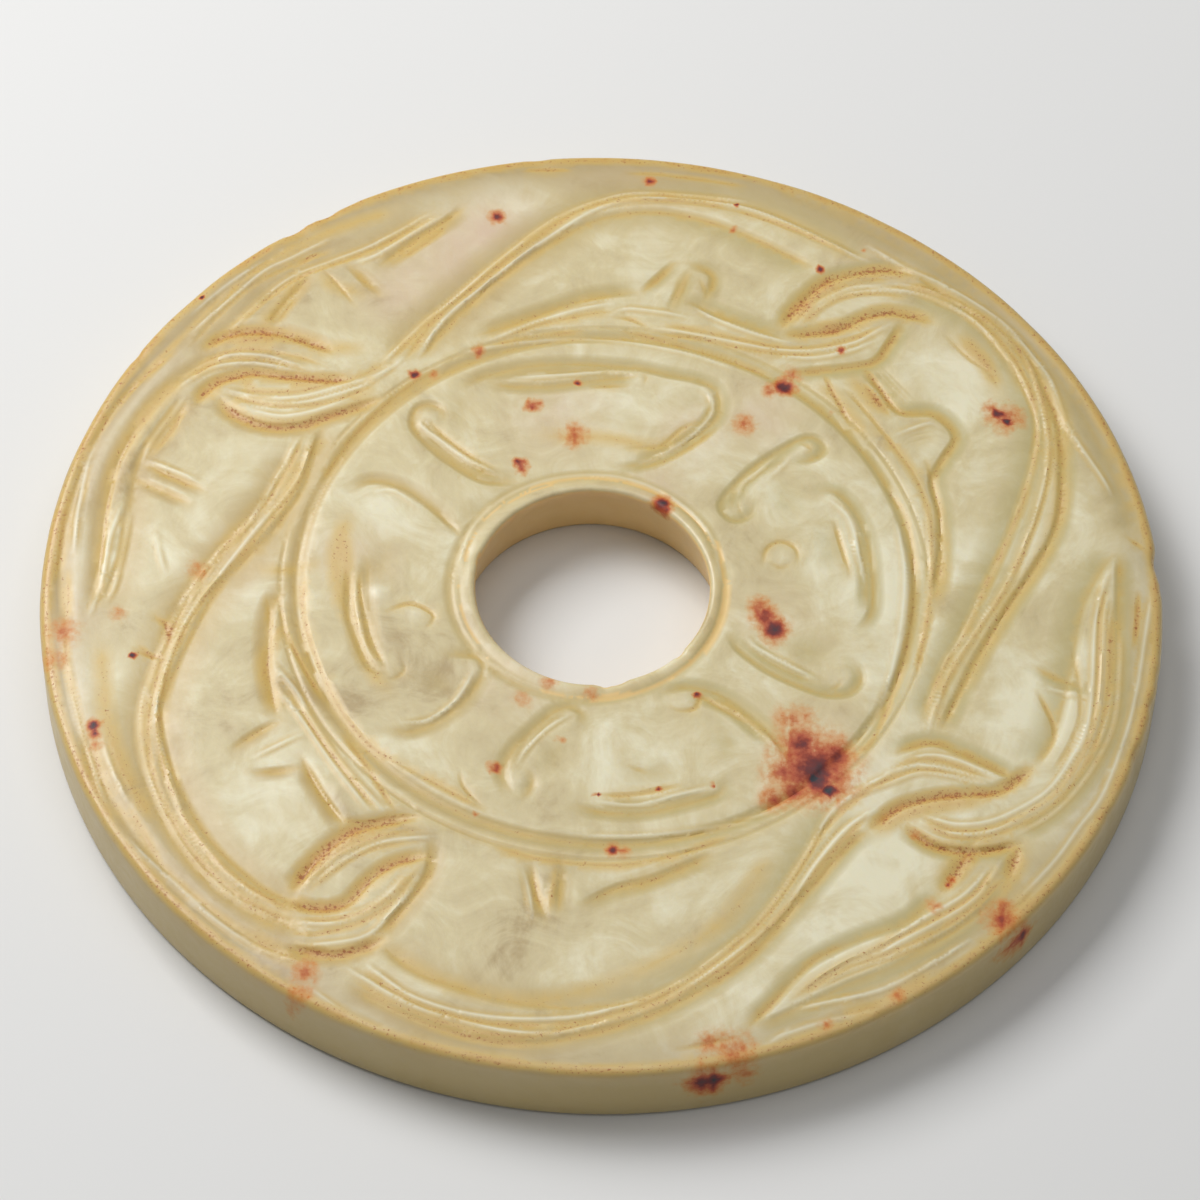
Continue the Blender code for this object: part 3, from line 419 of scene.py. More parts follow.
FINE_LINES = (
    Pass(Tool.HAIR, 0.5, 1.0, (
        (-952, 268, -961, 196, -970, 50, -972, -20), (-955, 20, -948, -34, -943, -117),
        (-793, 509, -883, 394, -930, 290), (-761, 401, -782, 333, -818, 268),
        (-887, -344, -865, -412, -858, -441), (-811, -480, -782, -538, -736, -610),
        (-703, -696, -660, -735, -613, -761), (-851, 329, -880, 240, -892, 120, -893, 10),
        (-760, 462, -700, 505, -640, 512, -570, 498, -520, 480),
        (-770, 436, -715, 480, -650, 492, -590, 480, -540, 462),
        (-700, 409, -640, 392, -590, 384, -530, 390, -470, 412, -420, 440),
        (-690, 424, -620, 416, -560, 420, -500, 440, -440, 464, -396, 502),
        (-423, 721, -376, 764, -322, 815, -275, 858), (-405, 721, -340, 775, -297, 829),
        (-680, 575, -620, 645, -560, 694, -480, 732, -400, 783, -350, 828),
        (-400, 492, -340, 572, -280, 640, -200, 730, -110, 820, -30, 875, 50, 900, 150, 896, 250, 884),
        (-370, 498, -320, 590, -240, 680, -160, 765, -70, 850, 0, 880, 80, 888, 180, 880, 280, 852, 380, 806,
         450, 765),
        (335, 594, 372, 645, 420, 685, 470, 705, 540, 715), (350, 594, 395, 640, 440, 668, 500, 678, 555, 670),
        (100, 592, 180, 578, 260, 558, 330, 545, 400, 553, 460, 575, 500, 600),
        (90, 572, 170, 562, 250, 542, 330, 530, 400, 532),
        (-203, 570, -135, 606, -59, 642, 20, 660), (-190, 556, -120, 588, -40, 612, 20, 622),
        (500, 694, 570, 690, 640, 662, 700, 602, 748, 530, 776, 450, 784, 360, 768, 260, 730, 140, 690, 40,
         650, -70, 600, -170, 568, -270),
        (545, 706, 620, 682, 690, 634, 744, 572, 783, 490, 803, 400, 806, 310, 790, 210, 750, 90, 706, -10,
         660, -90, 618, -170, 590, -250),
        (793, 484, 822, 394, 822, 304, 822, 203, 786, 88, 728, -12, 678, -113, 635, -207, 599, -290),
        (480, 394, 527, 318, 566, 246, 586, 160, 588, 60, 581, -34, 556, -178),
        (581, 297, 599, 214, 606, 124, 598, 10),
        (510, -372, 560, -352, 610, -358, 680, -388), (440, -436, 500, -400, 560, -374, 640, -383),
        (556, -470, 610, -494, 660, -496, 730, -466, 790, -420, 836, -350, 862, -285, 876, -190, 884, -60, 896, 30),
        (562, -478, 610, -510, 670, -510, 740, -478, 800, -430, 850, -355, 880, -270, 897, -160, 902, -40),
        (690, -565, 650, -625, 590, -672, 510, -722, 440, -762, 380, -805, 335, -845),
        (705, -585, 650, -650, 580, -704, 500, -748, 420, -785, 350, -840),
        (261, -901, 304, -851, 340, -804, 387, -754, 441, -725),
        (530, -374, 460, -428, 400, -490, 358, -570, 300, -668, 225, -756, 120, -840, 20, -884, -80, -904,
         -190, -900, -300, -866, -390, -805),
        (470, -470, 405, -550, 345, -640, 270, -735, 180, -815, 80, -872, -20, -903, -110, -928, -210, -915,
         -310, -880, -405, -828),
        (-495, -625, -440, -572, -370, -536, -290, -520), (-490, -650, -436, -598, -380, -562, -310, -546),
        (-296, -590, -336, -645, -380, -682, -440, -706, -510, -708),
        (-306, -618, -350, -674, -400, -712, -470, -736, -520, -735),
        (-548, 320, -572, 240, -612, 160, -668, 75, -722, -20, -755, -110, -778, -220, -786, -320, -770, -420,
         -728, -515, -680, -590, -600, -668, -500, -724),
        (-522, 330, -545, 230, -590, 140, -650, 40, -705, -45, -745, -140, -765, -240, -768, -330, -745, -430,
         -705, -520, -645, -600, -570, -660, -500, -696),
        (-595, -38, -584, -106, -584, -182, -574, -254, -563, -290), (-548, -138, -516, -196, -480, -261),
        (-448, -326, -401, -394, -362, -462, -344, -488), (-530, -262, -480, -345, -420, -430, -380, -486),
        (-556, -304, -606, -336, -635, -362), (-68, -584, -72, -640, -78, -684), (-110, -588, -95, -660, -84, -692),
        (20, 578, 88, 560, 196, 524, 304, 480), (-221, 534, -131, 559, -40, 576),
        (-304, 484, -383, 416, -459, 318, -513, 210), (-530, 20, -527, -70, -498, -174, -448, -282, -383, -362,
         -304, -412, -196, -477), (-178, -552, -88, -577, 34, -584, 124, -566, 232, -520),
        (509, 232, 545, 160, 556, 16, 534, -142, 484, -304, 437, -358),
    )),
    Pass(Tool.HOLLOW, 0.1, 0.9, (
        (300, 925, 380, 885, 450, 845, 600, 745, 720, 630, 820, 500, 890, 360, 935, 220, 945, 140),
    )),
    Pass(Tool.GROOVE, 0.75, 0.8, (
        (-290, 930, -275, 936, -261, 941), (-167, 955, -120, 958, -77, 957), (210, 934, 228, 932, 246, 930),
        (955, 20, 950, -50, 943, -106), (937, 138, 959, 120, 977, 106),
        (-823, -156, -800, -168, -768, -178, -772, -196),
        (540, -815, 575, -785), (-588, 705, -552, 735, -520, 745),
    )),
    Pass(Tool.HAIR, 0.9, 1.2, (
        (-790, -83, -782, -95, -772, -97, -761, -124, -763, -146, -772, -164), (-815, -150, -790, -172, -770, -180),
        (466, 470, 500, 420, 515, 395), (617, 318, 612, 300, 606, 290),
    )),
    Pass(Tool.HAIR, 0.1, 1.0, (
        (474, 505, 506, 460, 545, 410), (482, 508, 514, 464, 553, 414), (490, 510, 522, 468, 560, 420),
        (498, 512, 530, 472, 566, 428), (540, 330, 575, 345, 604, 352), (536, 338, 570, 356, 600, 362),
    )),
    Pass(Tool.WASH, 0.42, 1.0, (
        (-455, 150, -475, 60, -462, -40, -430, -110),
        (822, 394, 824, 304, 822, 203, 786, 88, 728, -12, 678, -113, 635, -207),
        (-470, 120, -452, 0, -420, -150, -370, -240), (394, -890, 455, -860, 516, -829, 588, -768),
        (670, -700, 720, -650, 760, -600), (430, -900, 520, -850, 600, -790),
        (-880, -150, -860, -300, -820, -420, -760, -520), (-600, 110, -570, 190, -545, 280),
        (475, -515, 520, -475, 590, -450, 680, -430), (640, -520, 615, -570, 590, -615),
        (740, -520, 715, -590, 690, -640),
(-484, -728, -599, -678, -674, -610, -736, -520, -782, -412),
        (-606, 178, -660, 92, -725, -20, -775, -160), (-772, 448, -829, 369, -874, 268, -894, 160),
        (-560, -80, -590, -180, -560, -290), (600, 170, 604, 60, 590, -40), (-640, 560, -590, 640, -560, 700),
    )),
    Pass(Tool.WASH, 0.8, 1.0, (
        (340, 612, 400, 690, 455, 718, 515, 730, 575, 720), (370, 588, 440, 603, 500, 634, 560, 628),
        (-735, 520, -690, 545, -640, 550), (660, -520, 625, -575, 600, -615),
    )),
    Pass(Tool.WASH, 0.55, 1.0, (
        (640, 590, 690, 525, 718, 455), (-480, -798, -540, -770, -600, -730), (330, 600, 400, 680, 470, 715),
        (-700, 520, -640, 540, -580, 535), (-500, -640, -440, -560, -380, -520),
    )),
    Pass(Tool.RIDGE, 0.15, 0.7, (
        (-498, 232, -527, 142, -541, 0, -527, -106, -484, -232), (-20, -527, 106, -520, 268, -487),
        (527, 153, 539, 34, 523, -120, 484, -268, 426, -351, 322, -452, 250, -484),
        (-268, 516, -178, 541, -70, 556, 34, 550, 142, 527, 232, 494),
        (-255, 0, -240, 110, -180, 190, -90, 236, 20, 243, 120, 200, 190, 120, 214, 10),
        (718, 20, 671, -66, 613, -174, 574, -297),
        (-862, -358, -829, -444, -808, -484), (-775, 0, -786, 30, -800, 90),
    )),
    Pass(Tool.WASH, 0.3, 1.0, (
        (-640, 720, -560, 775, -480, 815, -400, 850), (-430, 760, -380, 800, -320, 840),
        (-410, 735, -350, 785, -300, 832), (-720, 0, -700, 30, -680, 40), (-620, 20, -560, 20, -500, 40),
        (-420, -60, -410, -130, -390, -190), (640, 590, 690, 520, 720, 440), (700, 600, 745, 520, 765, 450),
        (820, 460, 835, 380, 825, 280), (760, 60, 700, -60, 650, -160), (606, -300, 592, -250, 610, -200),
        (300, -560, 220, -690, 120, -770, 0, -830, -120, -856, -250, -826, -360, -756),
        (200, -556, 106, -606, 34, -634), (-660, -600, -600, -680, -520, -740), (-890, -330, -850, -450, -790, -550),
        (-120, 330, 0, 330, 100, 312, 160, 360), (190, -232, 250, -262, 320, -325),
        (-560, 500, -500, 520, -440, 520), (440, 500, 470, 440, 500, 390), (380, 470, 430, 420, 480, 330),
        (-540, 700, -500, 660, -440, 650), (-243, 728, -200, 685),
    )),
)

CARVING = BANDS + BAND_LINES + TAILS + TAIL_LINES + KNOTS + KNOT_LINES + FINS + SCROLLS + FINE_LINES

CIRCLES = (
    Circle((0.5 * MM, 0.6 * MM), 33.0 * MM, 0.34 * MM, 0.9 * MM, 1.6 * MM, 0.3),
    Circle((-1.6 * MM, 0.0), 14.6 * MM, 0.15 * MM, 0.6 * MM, 1.0 * MM, 0.15),
    Circle((0.3 * MM, 0.3 * MM), 34.7 * MM, 0.12 * MM, 0.4 * MM, 0.4 * MM, 0.15),
    Circle((-1.4 * MM, 0.0), 13.9 * MM, 0.05 * MM, 0.3 * MM, 0.3 * MM, 0.1),
)

SPOTS = (
    Spot(376, -376, 62, 0.85), Spot(384, -400, 36, 0.85), Spot(376, -395, 9, 1.6), Spot(402, -420, 11, 1.5),
    Spot(354, -326, 40, 0.75), Spot(340, -276, 28, 0.45), Spot(366, -266, 20, 0.38), Spot(322, -384, 30, 0.6),
    Spot(310, -440, 24, 0.55), Spot(340, -425, 24, 0.7), Spot(416, -350, 32, 0.75),
    Spot(726, 398, 30, 0.6), Spot(714, 405, 8, 1.3),
    Spot(732, 387, 9, 1.2), Spot(700, 416, 14, 0.5), Spot(279, -34, 18, 0.6), Spot(290, -56, 22, 0.75),
    Spot(306, -84, 22, 1.1), Spot(306, -112, 14, 0.4), Spot(324, 455, 18, 1.1), Spot(338, 484, 16, 0.5),
    Spot(300, 447, 14, 0.6), Spot(252, 367, 20, 0.4), Spot(106, 185, 15, 1.0), Spot(112, 172, 12, 0.7),
    Spot(-155, 268, 10, 1.3), Spot(-148, 256, 9, 0.9), Spot(-55, 335, 24, 0.42), Spot(-60, 318, 14, 0.4),
    Spot(-136, 398, 10, 0.9), Spot(-124, 402, 10, 0.7), Spot(-52, 455, 6, 1.0), Spot(-351, 463, 9, 1.2),
    Spot(-318, 465, 9, 0.45), Spot(-237, 521, 12, 0.55), Spot(-212, 840, 13, 0.95), Spot(73, 934, 9, 0.9),
    Spot(429, 542, 7, 1.0), Spot(236, 882, 4, 1.5), Spot(229, 826, 3, 1.5), Spot(390, 730, 4, 1.4),
    Spot(472, 782, 3, 1.4), Spot(-881, -322, 10, 1.2), Spot(-878, -338, 9, 0.9), Spot(-876, -360, 14, 0.35),
    Spot(-823, -172, 6, 1.5), Spot(-854, -83, 14, 0.3), Spot(-948, -124, 26, 0.4), Spot(-966, -182, 24, 0.35),
    Spot(-720, 15, 18, 0.3), Spot(-179, -390, 10, 1.0), Spot(30, -552, 12, 0.9), Spot(50, -556, 12, 0.5),
    Spot(172, -227, 6, 1.4), Spot(-88, -210, 14, 0.45), Spot(-135, -246, 14, 0.35), Spot(-16, -232, 14, 0.3),
    Spot(-212, -485, 3, 1.4), Spot(108, -425, 4, 1.2), Spot(200, -418, 4, 1.4), Spot(2, -440, 3, 1.2),
    Spot(583, -653, 12, 0.5), Spot(610, -596, 7, 0.7), Spot(606, -608, 6, 0.9),
    Spot(696, -676, 30, 0.6), Spot(700, -650, 16, 0.5),
    Spot(722, -694, 46, 0.6), Spot(735, -678, 22, 0.9), Spot(547, -507, 9, 0.5),
    Spot(196, -930, 20, 0.42), Spot(240, -944, 34, 0.45),
    Spot(262, -972, 24, 0.45), Spot(187, -980, 34, 0.95), Spot(206, -977, 26, 1.1), Spot(-487, -811, 22, 0.42),
    Spot(-494, -850, 20, 0.34), Spot(-510, -862, 14, 0.34), Spot(394, -890, 12, 0.35), Spot(516, -829, 14, 0.35),
    Spot(-752, 635, 3, 1.3), Spot(-631, 750, 3, 1.3), Spot(-60, -330, 3, 1.0), Spot(410, 400, 3, 1.2),
)

PATCHES = (
    Spot(-200, 665, 120, -0.4), Spot(-705, 655, 130, -0.5), Spot(-790, 290, 110, -0.7),
    Spot(-680, 190, 120, -0.4), Spot(-850, -90, 110, -0.8),
    Spot(-655, -205, 140, -0.6), Spot(-725, -410, 120, -0.5), Spot(-665, -645, 120, -0.8), Spot(-115, -720, 180, -0.45),
    Spot(245, -975, 110, -0.6), Spot(235, 278, 70, -0.4), Spot(525, 755, 110, -0.5), Spot(955, 180, 80, -0.4),
    Spot(-535, 105, 120, -0.6), Spot(-505, -285, 110, -0.6), Spot(-585, 495, 110, -0.6), Spot(675, -595, 90, -0.5),
    Spot(155, 325, 70, -0.3), Spot(-290, -205, 80, -0.3), Spot(-945, 225, 100, -0.8), Spot(-440, 640, 100, -0.4),
    Spot(-330, -30, 70, -0.4), Spot(-545, -815, 100, -0.6),
    Spot(655, 465, 130, 0.9), Spot(785, -245, 140, 0.9), Spot(805, 155, 120, 0.7), Spot(555, -155, 110, 0.5),
    Spot(495, -545, 130, 0.9), Spot(435, -725, 140, 0.7), Spot(235, -855, 110, 0.4), Spot(455, 95, 130, 1.1),
    Spot(65, -335, 120, 0.5), Spot(-375, 155, 80, 0.7), Spot(-325, -285, 80, 0.4), Spot(235, 855, 120, 0.3),
    Spot(-315, -565, 120, 0.5), Spot(335, 195, 90, 0.7), Spot(75, 745, 110, 0.4),
)

BLUSHES = (
    Spot(-970, -95, 90, 0.8), Spot(-310, 710, 120, 0.7), Spot(-210, 805, 110, 0.9), Spot(-90, 385, 110, 0.6),
    Spot(155, 350, 80, 0.5), Spot(285, 385, 90, 0.6), Spot(45, 965, 140, 0.6), Spot(545, 805, 130, 0.6),
    Spot(745, 605, 120, 0.6), Spot(-445, 45, 90, 0.5), Spot(-640, 40, 90, 0.5), Spot(-545, -820, 90, 0.6),
    Spot(385, -355, 130, 0.4), Spot(105, 225, 80, 0.5), Spot(-135, -215, 90, 0.5), Spot(205, -985, 90, 0.5),
    Spot(305, -45, 80, 0.4), Spot(-850, 480, 120, 0.4), Spot(-400, 655, 100, 0.4),
)


# Chips by bearing and half width in degrees, and depth in millimetres
RIM_CHIPS = (
    (126.4, 1.5, 0.18), (122.2, 1.2, 0.16), (124.0, 6.0, 0.14), (4.6, 2.2, 0.4), (2.0, 1.2, 0.15), (351.0, 1.0, 0.18),
    (347.2, 1.1, 0.18), (341.0, 1.8, 0.25), (333.0, 1.2, 0.15), (98.0, 1.3, 0.1), (150.0, 1.2, 0.1), (300.0, 1.3, 0.15),
)
BORE_CHIPS = ((282.0, 7.0, 0.35), (276.0, 3.5, 0.2), (318.0, 4.0, 0.15), (60.0, 4.0, 0.15), (165.0, 5.0, 0.15))


class Relief(NamedTuple):
    """What the carving does to the stone at some places, one value for each place."""

    height: np.ndarray
    # Mask of the hollows that the finish darkens with painted shade.
    hollow_shade: np.ndarray
    # Mask of the raised ridges that the finish lightens with a painted highlight.
    crest_highlight: np.ndarray
    dirt: np.ndarray


@dataclass
class Carving:
    """The low relief on the front: bands, knots, fins, scrolls and two circles around the bore."""

    passes: tuple[Pass, ...] = CARVING
    circles: tuple[Circle, ...] = CIRCLES
    station: float = 0.55 * MM
    run_out: float = 2.6 * MM
    dirt_reach: float = 0.7 * MM
    line_reach: float = 0.5 * MM
    moat: float = 0.46 * MM
    moat_half: float = 0.28 * MM
    moat_depth: float = 0.45
    broad: float = 3.5 * MM
    full_circle: float = 0.24 * MM
    full_hollow: float = 0.34 * MM
    full_crest: float = 0.13 * MM

    def curve(self, line: Line) -> np.ndarray:
        """The smooth curve through a line's points.

        Args:
            line: x, y pairs in thousandths of the disc's radius.

        Returns:
            Points along the curve in metres, about a station apart.
        """
        knots = np.array(line, float).reshape(-1, 2) * SHARE
        ends = np.vstack([2 * knots[0] - knots[1], knots, 2 * knots[-1] - knots[-2]])
        t = np.linspace(0, 1, 14, endpoint=False)[:, None]
        fine = []
        for a, b, c, d in zip(ends, ends[1:], ends[2:], ends[3:]):
            fine.append(0.5 * (2 * b + (c - a) * t + (2 * a - 5 * b + 4 * c - d) * t ** 2
                               + (3 * b - a - 3 * c + d) * t ** 3))
        path = np.vstack(fine + [knots[-1:]])
        run = np.concatenate([[0], np.cumsum(np.hypot(*np.diff(path, axis=0).T))])
        stations = np.linspace(0, run[-1], max(3, round(run[-1] / self.station) + 1))
        return np.column_stack([np.interp(stations, run, path[:, axis]) for axis in (0, 1)])

    def strokes(self) -> Iterator[tuple[Pass, np.ndarray]]:
        """Walks through every line of the carving.

        Returns:
            The pass each line belongs to, and the line's curve.
        """
        for one in self.passes:
            for line in one.lines:
                yield one, self.curve(line)

    def rows(self) -> tuple[np.ndarray, np.ndarray]:
        """Places along each cut and ridge where the surface bends.

        Returns:
            The middles of all lines, then their flanks.
        """
        middles, flanks = [], []
        for one, path in self.strokes():
            profile = one.tool.value
            along = np.gradient(path, axis=0)
            along /= np.hypot(*along.T)[:, None]
            across = np.column_stack([-along[:, 1], along[:, 0]])
            middles.append(path)
            for share in (0.42 if one.tool is Tool.RIDGE else 0.5, 1.0):
                flanks.append(path + across * profile.left * share)
                flanks.append(path - across * profile.right * share)
        for circle in self.circles:
            turns = np.linspace(0, 2 * math.pi, round(2 * math.pi * circle.radius / self.station), endpoint=False)
            spokes = np.column_stack([np.cos(turns), np.sin(turns)])
            middles.append(spokes * circle.radius + circle.centre)
            for reach in (-circle.inner, -circle.inner / 2, circle.outer / 2, circle.outer):
                flanks.append(spokes * (circle.radius + reach) + circle.centre)
        return np.vstack(middles), np.vstack(flanks)

    def measure(self, places: np.ndarray) -> Relief:
        """Works out the relief at each place.

        Args:
            places: x, y rows in metres.

        Returns:
            Height over the uncut face, how hollow it is for the painted shade in the cuts, how raised it is for the
            painted highlight on the ridges, and how much dirt it holds.
        """
        count = len(places)
        cut, groove, ridge, dirt, shade_tint = (np.zeros(count) for _ in range(5))
        for circle in self.circles:
            gap = np.hypot(*(places - circle.centre).T) - circle.radius
            share = np.clip(1 - np.abs(gap) / np.where(gap > 0, circle.outer, circle.inner), 0, 1)
            cut = np.maximum(cut, circle.depth * share ** 1.3)
            shade_tint = np.maximum(shade_tint, np.clip(1.7 * share, 0, 1) * min(1.0, circle.depth / self.full_circle))
            dirt = np.maximum(dirt, circle.dirt * np.clip(1 - np.abs(gap) / self.dirt_reach, 0, 1))
        for one, path in self.strokes():
            profile = one.tool.value
            reach = max(profile.left, profile.right)
            low, high = path.min(axis=0) - reach, path.max(axis=0) + reach
            near = np.flatnonzero(((places > low) & (places < high)).all(axis=1))
            if len(near) == 0:
                continue
            distance, side, ease = self.follow(places[near], path)
            share = np.clip(distance / np.where(side > 0, profile.left, profile.right), 0, 1)
            steep = (side > 0) == (profile.left < profile.right)
            bell = 1 - share * share * (3 - 2 * share)
            shape = bell if profile.fine or profile.left == profile.right else np.where(steep, bell, (1 - share) ** 1.5)
            amount = abs(profile.height) * one.press * ease
            silt = np.clip(1 - distance / (self.dirt_reach * (0.4 + 1.25 * one.dirt)), 0, 1)
            if one.tool in (Tool.GROOVE, Tool.HAIR):
                silt = np.clip(1.25 * (1 - distance / self.line_reach), 0, 1)
            if one.tool is Tool.WASH:
                silt = np.clip(1 - distance / profile.left, 0, 1)
            if one.tool is Tool.RIDGE:
                moat = np.clip(1 - np.abs(distance - self.moat) / self.moat_half, 0, 1)
                core = np.clip(1 - distance / self.moat_half, 0, 1)
                ridge[near] = np.maximum(ridge[near], amount * core * (2 - core))
                groove[near] = np.maximum(groove[near], self.moat_depth * amount * moat)
                silt = moat
            elif profile.height > 0:
                ridge[near] = np.maximum(ridge[near], amount * shape)
            elif profile.fine:
                groove[near] = np.maximum(groove[near], amount * shape)
            else:
                cut[near] = np.maximum(cut[near], amount * shape)
                spread = 1.3 if profile.left + profile.right > self.broad else 1.8
                full = 0.45 if one.tool is Tool.HOLLOW else spread / 1.8
                # Painted shade: an olive tint across the trough of each cut.
                shade_tint[near] = np.maximum(shade_tint[near], full * ease * np.clip(spread * (1 - share), 0, 1))
            dirt[near] = np.maximum(dirt[near], one.dirt * ease * silt)
        height = ridge - cut - groove
        # The hollow mask feeds the painted shade in the cuts, and the crest mask feeds the painted highlight on the
        # ridges.
        return Relief(height, np.clip(shade_tint + (1.6 * groove - ridge) / self.full_hollow, 0, 1),
                      np.clip(ridge / self.full_crest, 0, 1), dirt)

    def follow(self, places: np.ndarray, path: np.ndarray) -> tuple[np.ndarray, np.ndarray, np.ndarray]:
        """Finds where each place lies along and beside a path.

        Args:
            places: x, y rows in metres.
            path: points along the curve.

        Returns:
            Distance from the path, which side, positive on the left, and how far the cut has run in.
        """
        start = path[:-1]
        leg = path[1:] - start
        length = np.hypot(*leg.T)
        run = np.concatenate([[0], np.cumsum(length)])
        distance = np.full(len(places), np.inf)
        side = np.zeros(len(places))
        along = np.zeros(len(places))
        for index in range(len(leg)):
            offset = places - start[index]
            share = np.clip(offset @ leg[index] / length[index] ** 2, 0, 1)
            gap = offset - share[:, None] * leg[index]
            far = np.hypot(gap[:, 0], gap[:, 1])
            closer = far < distance
            distance = np.where(closer, far, distance)
            turn = leg[index, 0] * offset[:, 1] - leg[index, 1] * offset[:, 0]
            side = np.where(closer, turn, side)
            along = np.where(closer, run[index] + share * length[index], along)
        ease = np.clip(0.15 + np.minimum(along, run[-1] - along) / self.run_out, 0, 1)
        return distance, side, ease


def mesh_corners(mesh: bpy.types.Mesh) -> np.ndarray:
    """Reads where a mesh's corners are.

    Args:
        mesh: the mesh.

    Returns:
        x, y, z rows in metres.
    """
    flat = np.empty(len(mesh.vertices) * 3, np.float32)
    mesh.vertices.foreach_get("co", flat)
    return flat.reshape(-1, 3).astype(float)


@dataclass
class Disc:
    """The stone itself: its sizes, and the methods that turn, carve and join it."""

    thickness: float = 8.7 * MM
    radius: float = 59.94 * MM
    bore_radius: float = 12.5 * MM
    bore_offset: float = -1.0 * MM
    bore_taper: float = 1.5 * MM
    rim_rounding: float = 0.9 * MM
    foot_rounding: float = 0.7 * MM
    bore_rounding: float = 0.6 * MM
    border_width: float = 4.0 * MM
    border_fall: float = 0.4 * MM
    face_drop: float = 0.2 * MM
    line_inset: float = 4.5 * MM
    line_width: float = 1.2 * MM
    line_depth: float = 0.35 * MM
    rim_sides: int = 600
    bore_sides: int = 220
    row_gap: float = 0.17 * MM
    ground_step: float = 0.72 * MM
    edge_clearance: float = 0.25 * MM
    edge_band: float = 1.0 * MM
    wave_height: float = 0.07 * MM
    edge_wear: float = 0.05 * MM
    chip_reach: float = 2.4 * MM
    weld: float = 0.02 * MM

    def face_radius(self) -> float:
        """Radius where the face meets the rim's rounding."""
        return self.radius - self.rim_rounding

    def mouth_radius(self) -> float:
        """Radius where the face meets the bore's rounding."""
        return self.bore_radius + self.bore_rounding

    def from_edges(self, places: np.ndarray) -> np.ndarray:
        """How far each place of the face lies inside the nearer of its two edges.

        Args:
            places: x, y rows in metres.

        Returns:
            Distances in metres, below 0 past an edge.
        """
        outer = self.face_radius() - np.hypot(*places.T)
        inner = np.hypot(places[:, 0] - self.bore_offset, places[:, 1]) - self.mouth_radius()
        return np.minimum(outer, inner)

    def face_height(self, places: np.ndarray, relief: Relief) -> np.ndarray:
        """Height of the face over the table at each place.

        Args:
            places: x, y rows in metres.
            relief: the carving at those places.

        Returns:
            Heights in metres.
        """
        rim_gap = self.face_radius() - np.hypot(*places.T)
        flat_border = self.border_width - self.rim_rounding
        fall = self.border_fall * np.clip(1 - rim_gap / flat_border, 0, 1) ** 1.3
        edge = np.clip(self.from_edges(places) / self.edge_band, 0, 1)
        wave = np.array([noise.noise(Vector((x * 130, y * 130, 3.0))) for x, y in places])
        lift = (relief.height - self.face_drop + self.wave_height * wave) * edge
        return self.thickness - fall + np.minimum(lift, 0)

    def place_net(self, carving: Carving) -> np.ndarray:
        """Chooses where the face's facets meet: dense along the carving and open on plain ground.

        Args:
            carving: the lines that the facets follow.

        Returns:
            x, y rows in metres, none closer than the gap of its kind.
        """
        middles, flanks = carving.rows()
        reach = np.arange(-self.radius, self.radius, self.ground_step)
        across, up = np.meshgrid(reach, reach)
        across = across + (np.arange(len(reach)) % 2)[:, None] * self.ground_step / 2
        ground = np.column_stack([across.ravel(), up.ravel()])
        kept: list[tuple[float, float]] = []
        cells: dict[tuple[int, int], list[tuple[float, float]]] = {}
        size = self.ground_step * 0.6
        for group, gap in ((middles, self.row_gap), (flanks, self.row_gap), (ground, size)):
            inside = group[self.from_edges(group) > self.edge_clearance]
            for x, y in inside:
                column, row = math.floor(x / size), math.floor(y / size)
                around = (near for i in (-1, 0, 1) for j in (-1, 0, 1)
                          for near in cells.get((column + i, row + j), ()))
                if all((x - u) ** 2 + (y - v) ** 2 > gap * gap for u, v in around):
                    kept.append((x, y))
                    cells.setdefault((column, row), []).append((x, y))
        return np.array(kept)

    def ring(self, centre_x: float, radius: float, sides: int) -> np.ndarray:
        """Even places around a circle, the first of them towards +X."""
        turns = np.arange(sides) * 2 * math.pi / sides
        return np.column_stack([centre_x + radius * np.cos(turns), radius * np.sin(turns)])

    def carve_face(self, carving: Carving) -> bpy.types.Object:
        """Makes the carved face as a net of facets between its two edges.

        Args:
            carving: the relief to cut.

        Returns:
            The face, open at the rim and at the bore.
        """
        outer = self.ring(0, self.face_radius(), self.rim_sides)
        inner = self.ring(self.bore_offset, self.mouth_radius(), self.bore_sides)
        places = np.vstack([outer, inner, self.place_net(carving)])
        first, last = self.rim_sides, self.rim_sides + self.bore_sides
        loops = (range(first), range(first, last))
        edges = [(loop[i - 1], loop[i]) for loop in loops for i in range(len(loop))]
        flat = [tuple(place) for place in places / MM]
        found, _, triangles, origins, _, _ = delaunay_2d_cdt(flat, edges, [], 0, 1e-5)
        plane = np.array([tuple(place) for place in found]) * MM
        relief = carving.measure(plane)
        heights = self.face_height(plane, relief)
        hole = {row for row, sources in enumerate(origins) if any(first <= source < last for source in sources)}
        faces = [corners for corners in triangles if not hole.issuperset(corners)]
        mesh = bpy.data.meshes.new("face")
        mesh.from_pydata(np.column_stack([plane, heights]).tolist(), [], faces)
        face = bpy.data.objects.new("face", mesh)
        bpy.context.scene.collection.objects.link(face)
        LOG.info("face: %d places, %d facets", len(plane), len(faces))
        return face

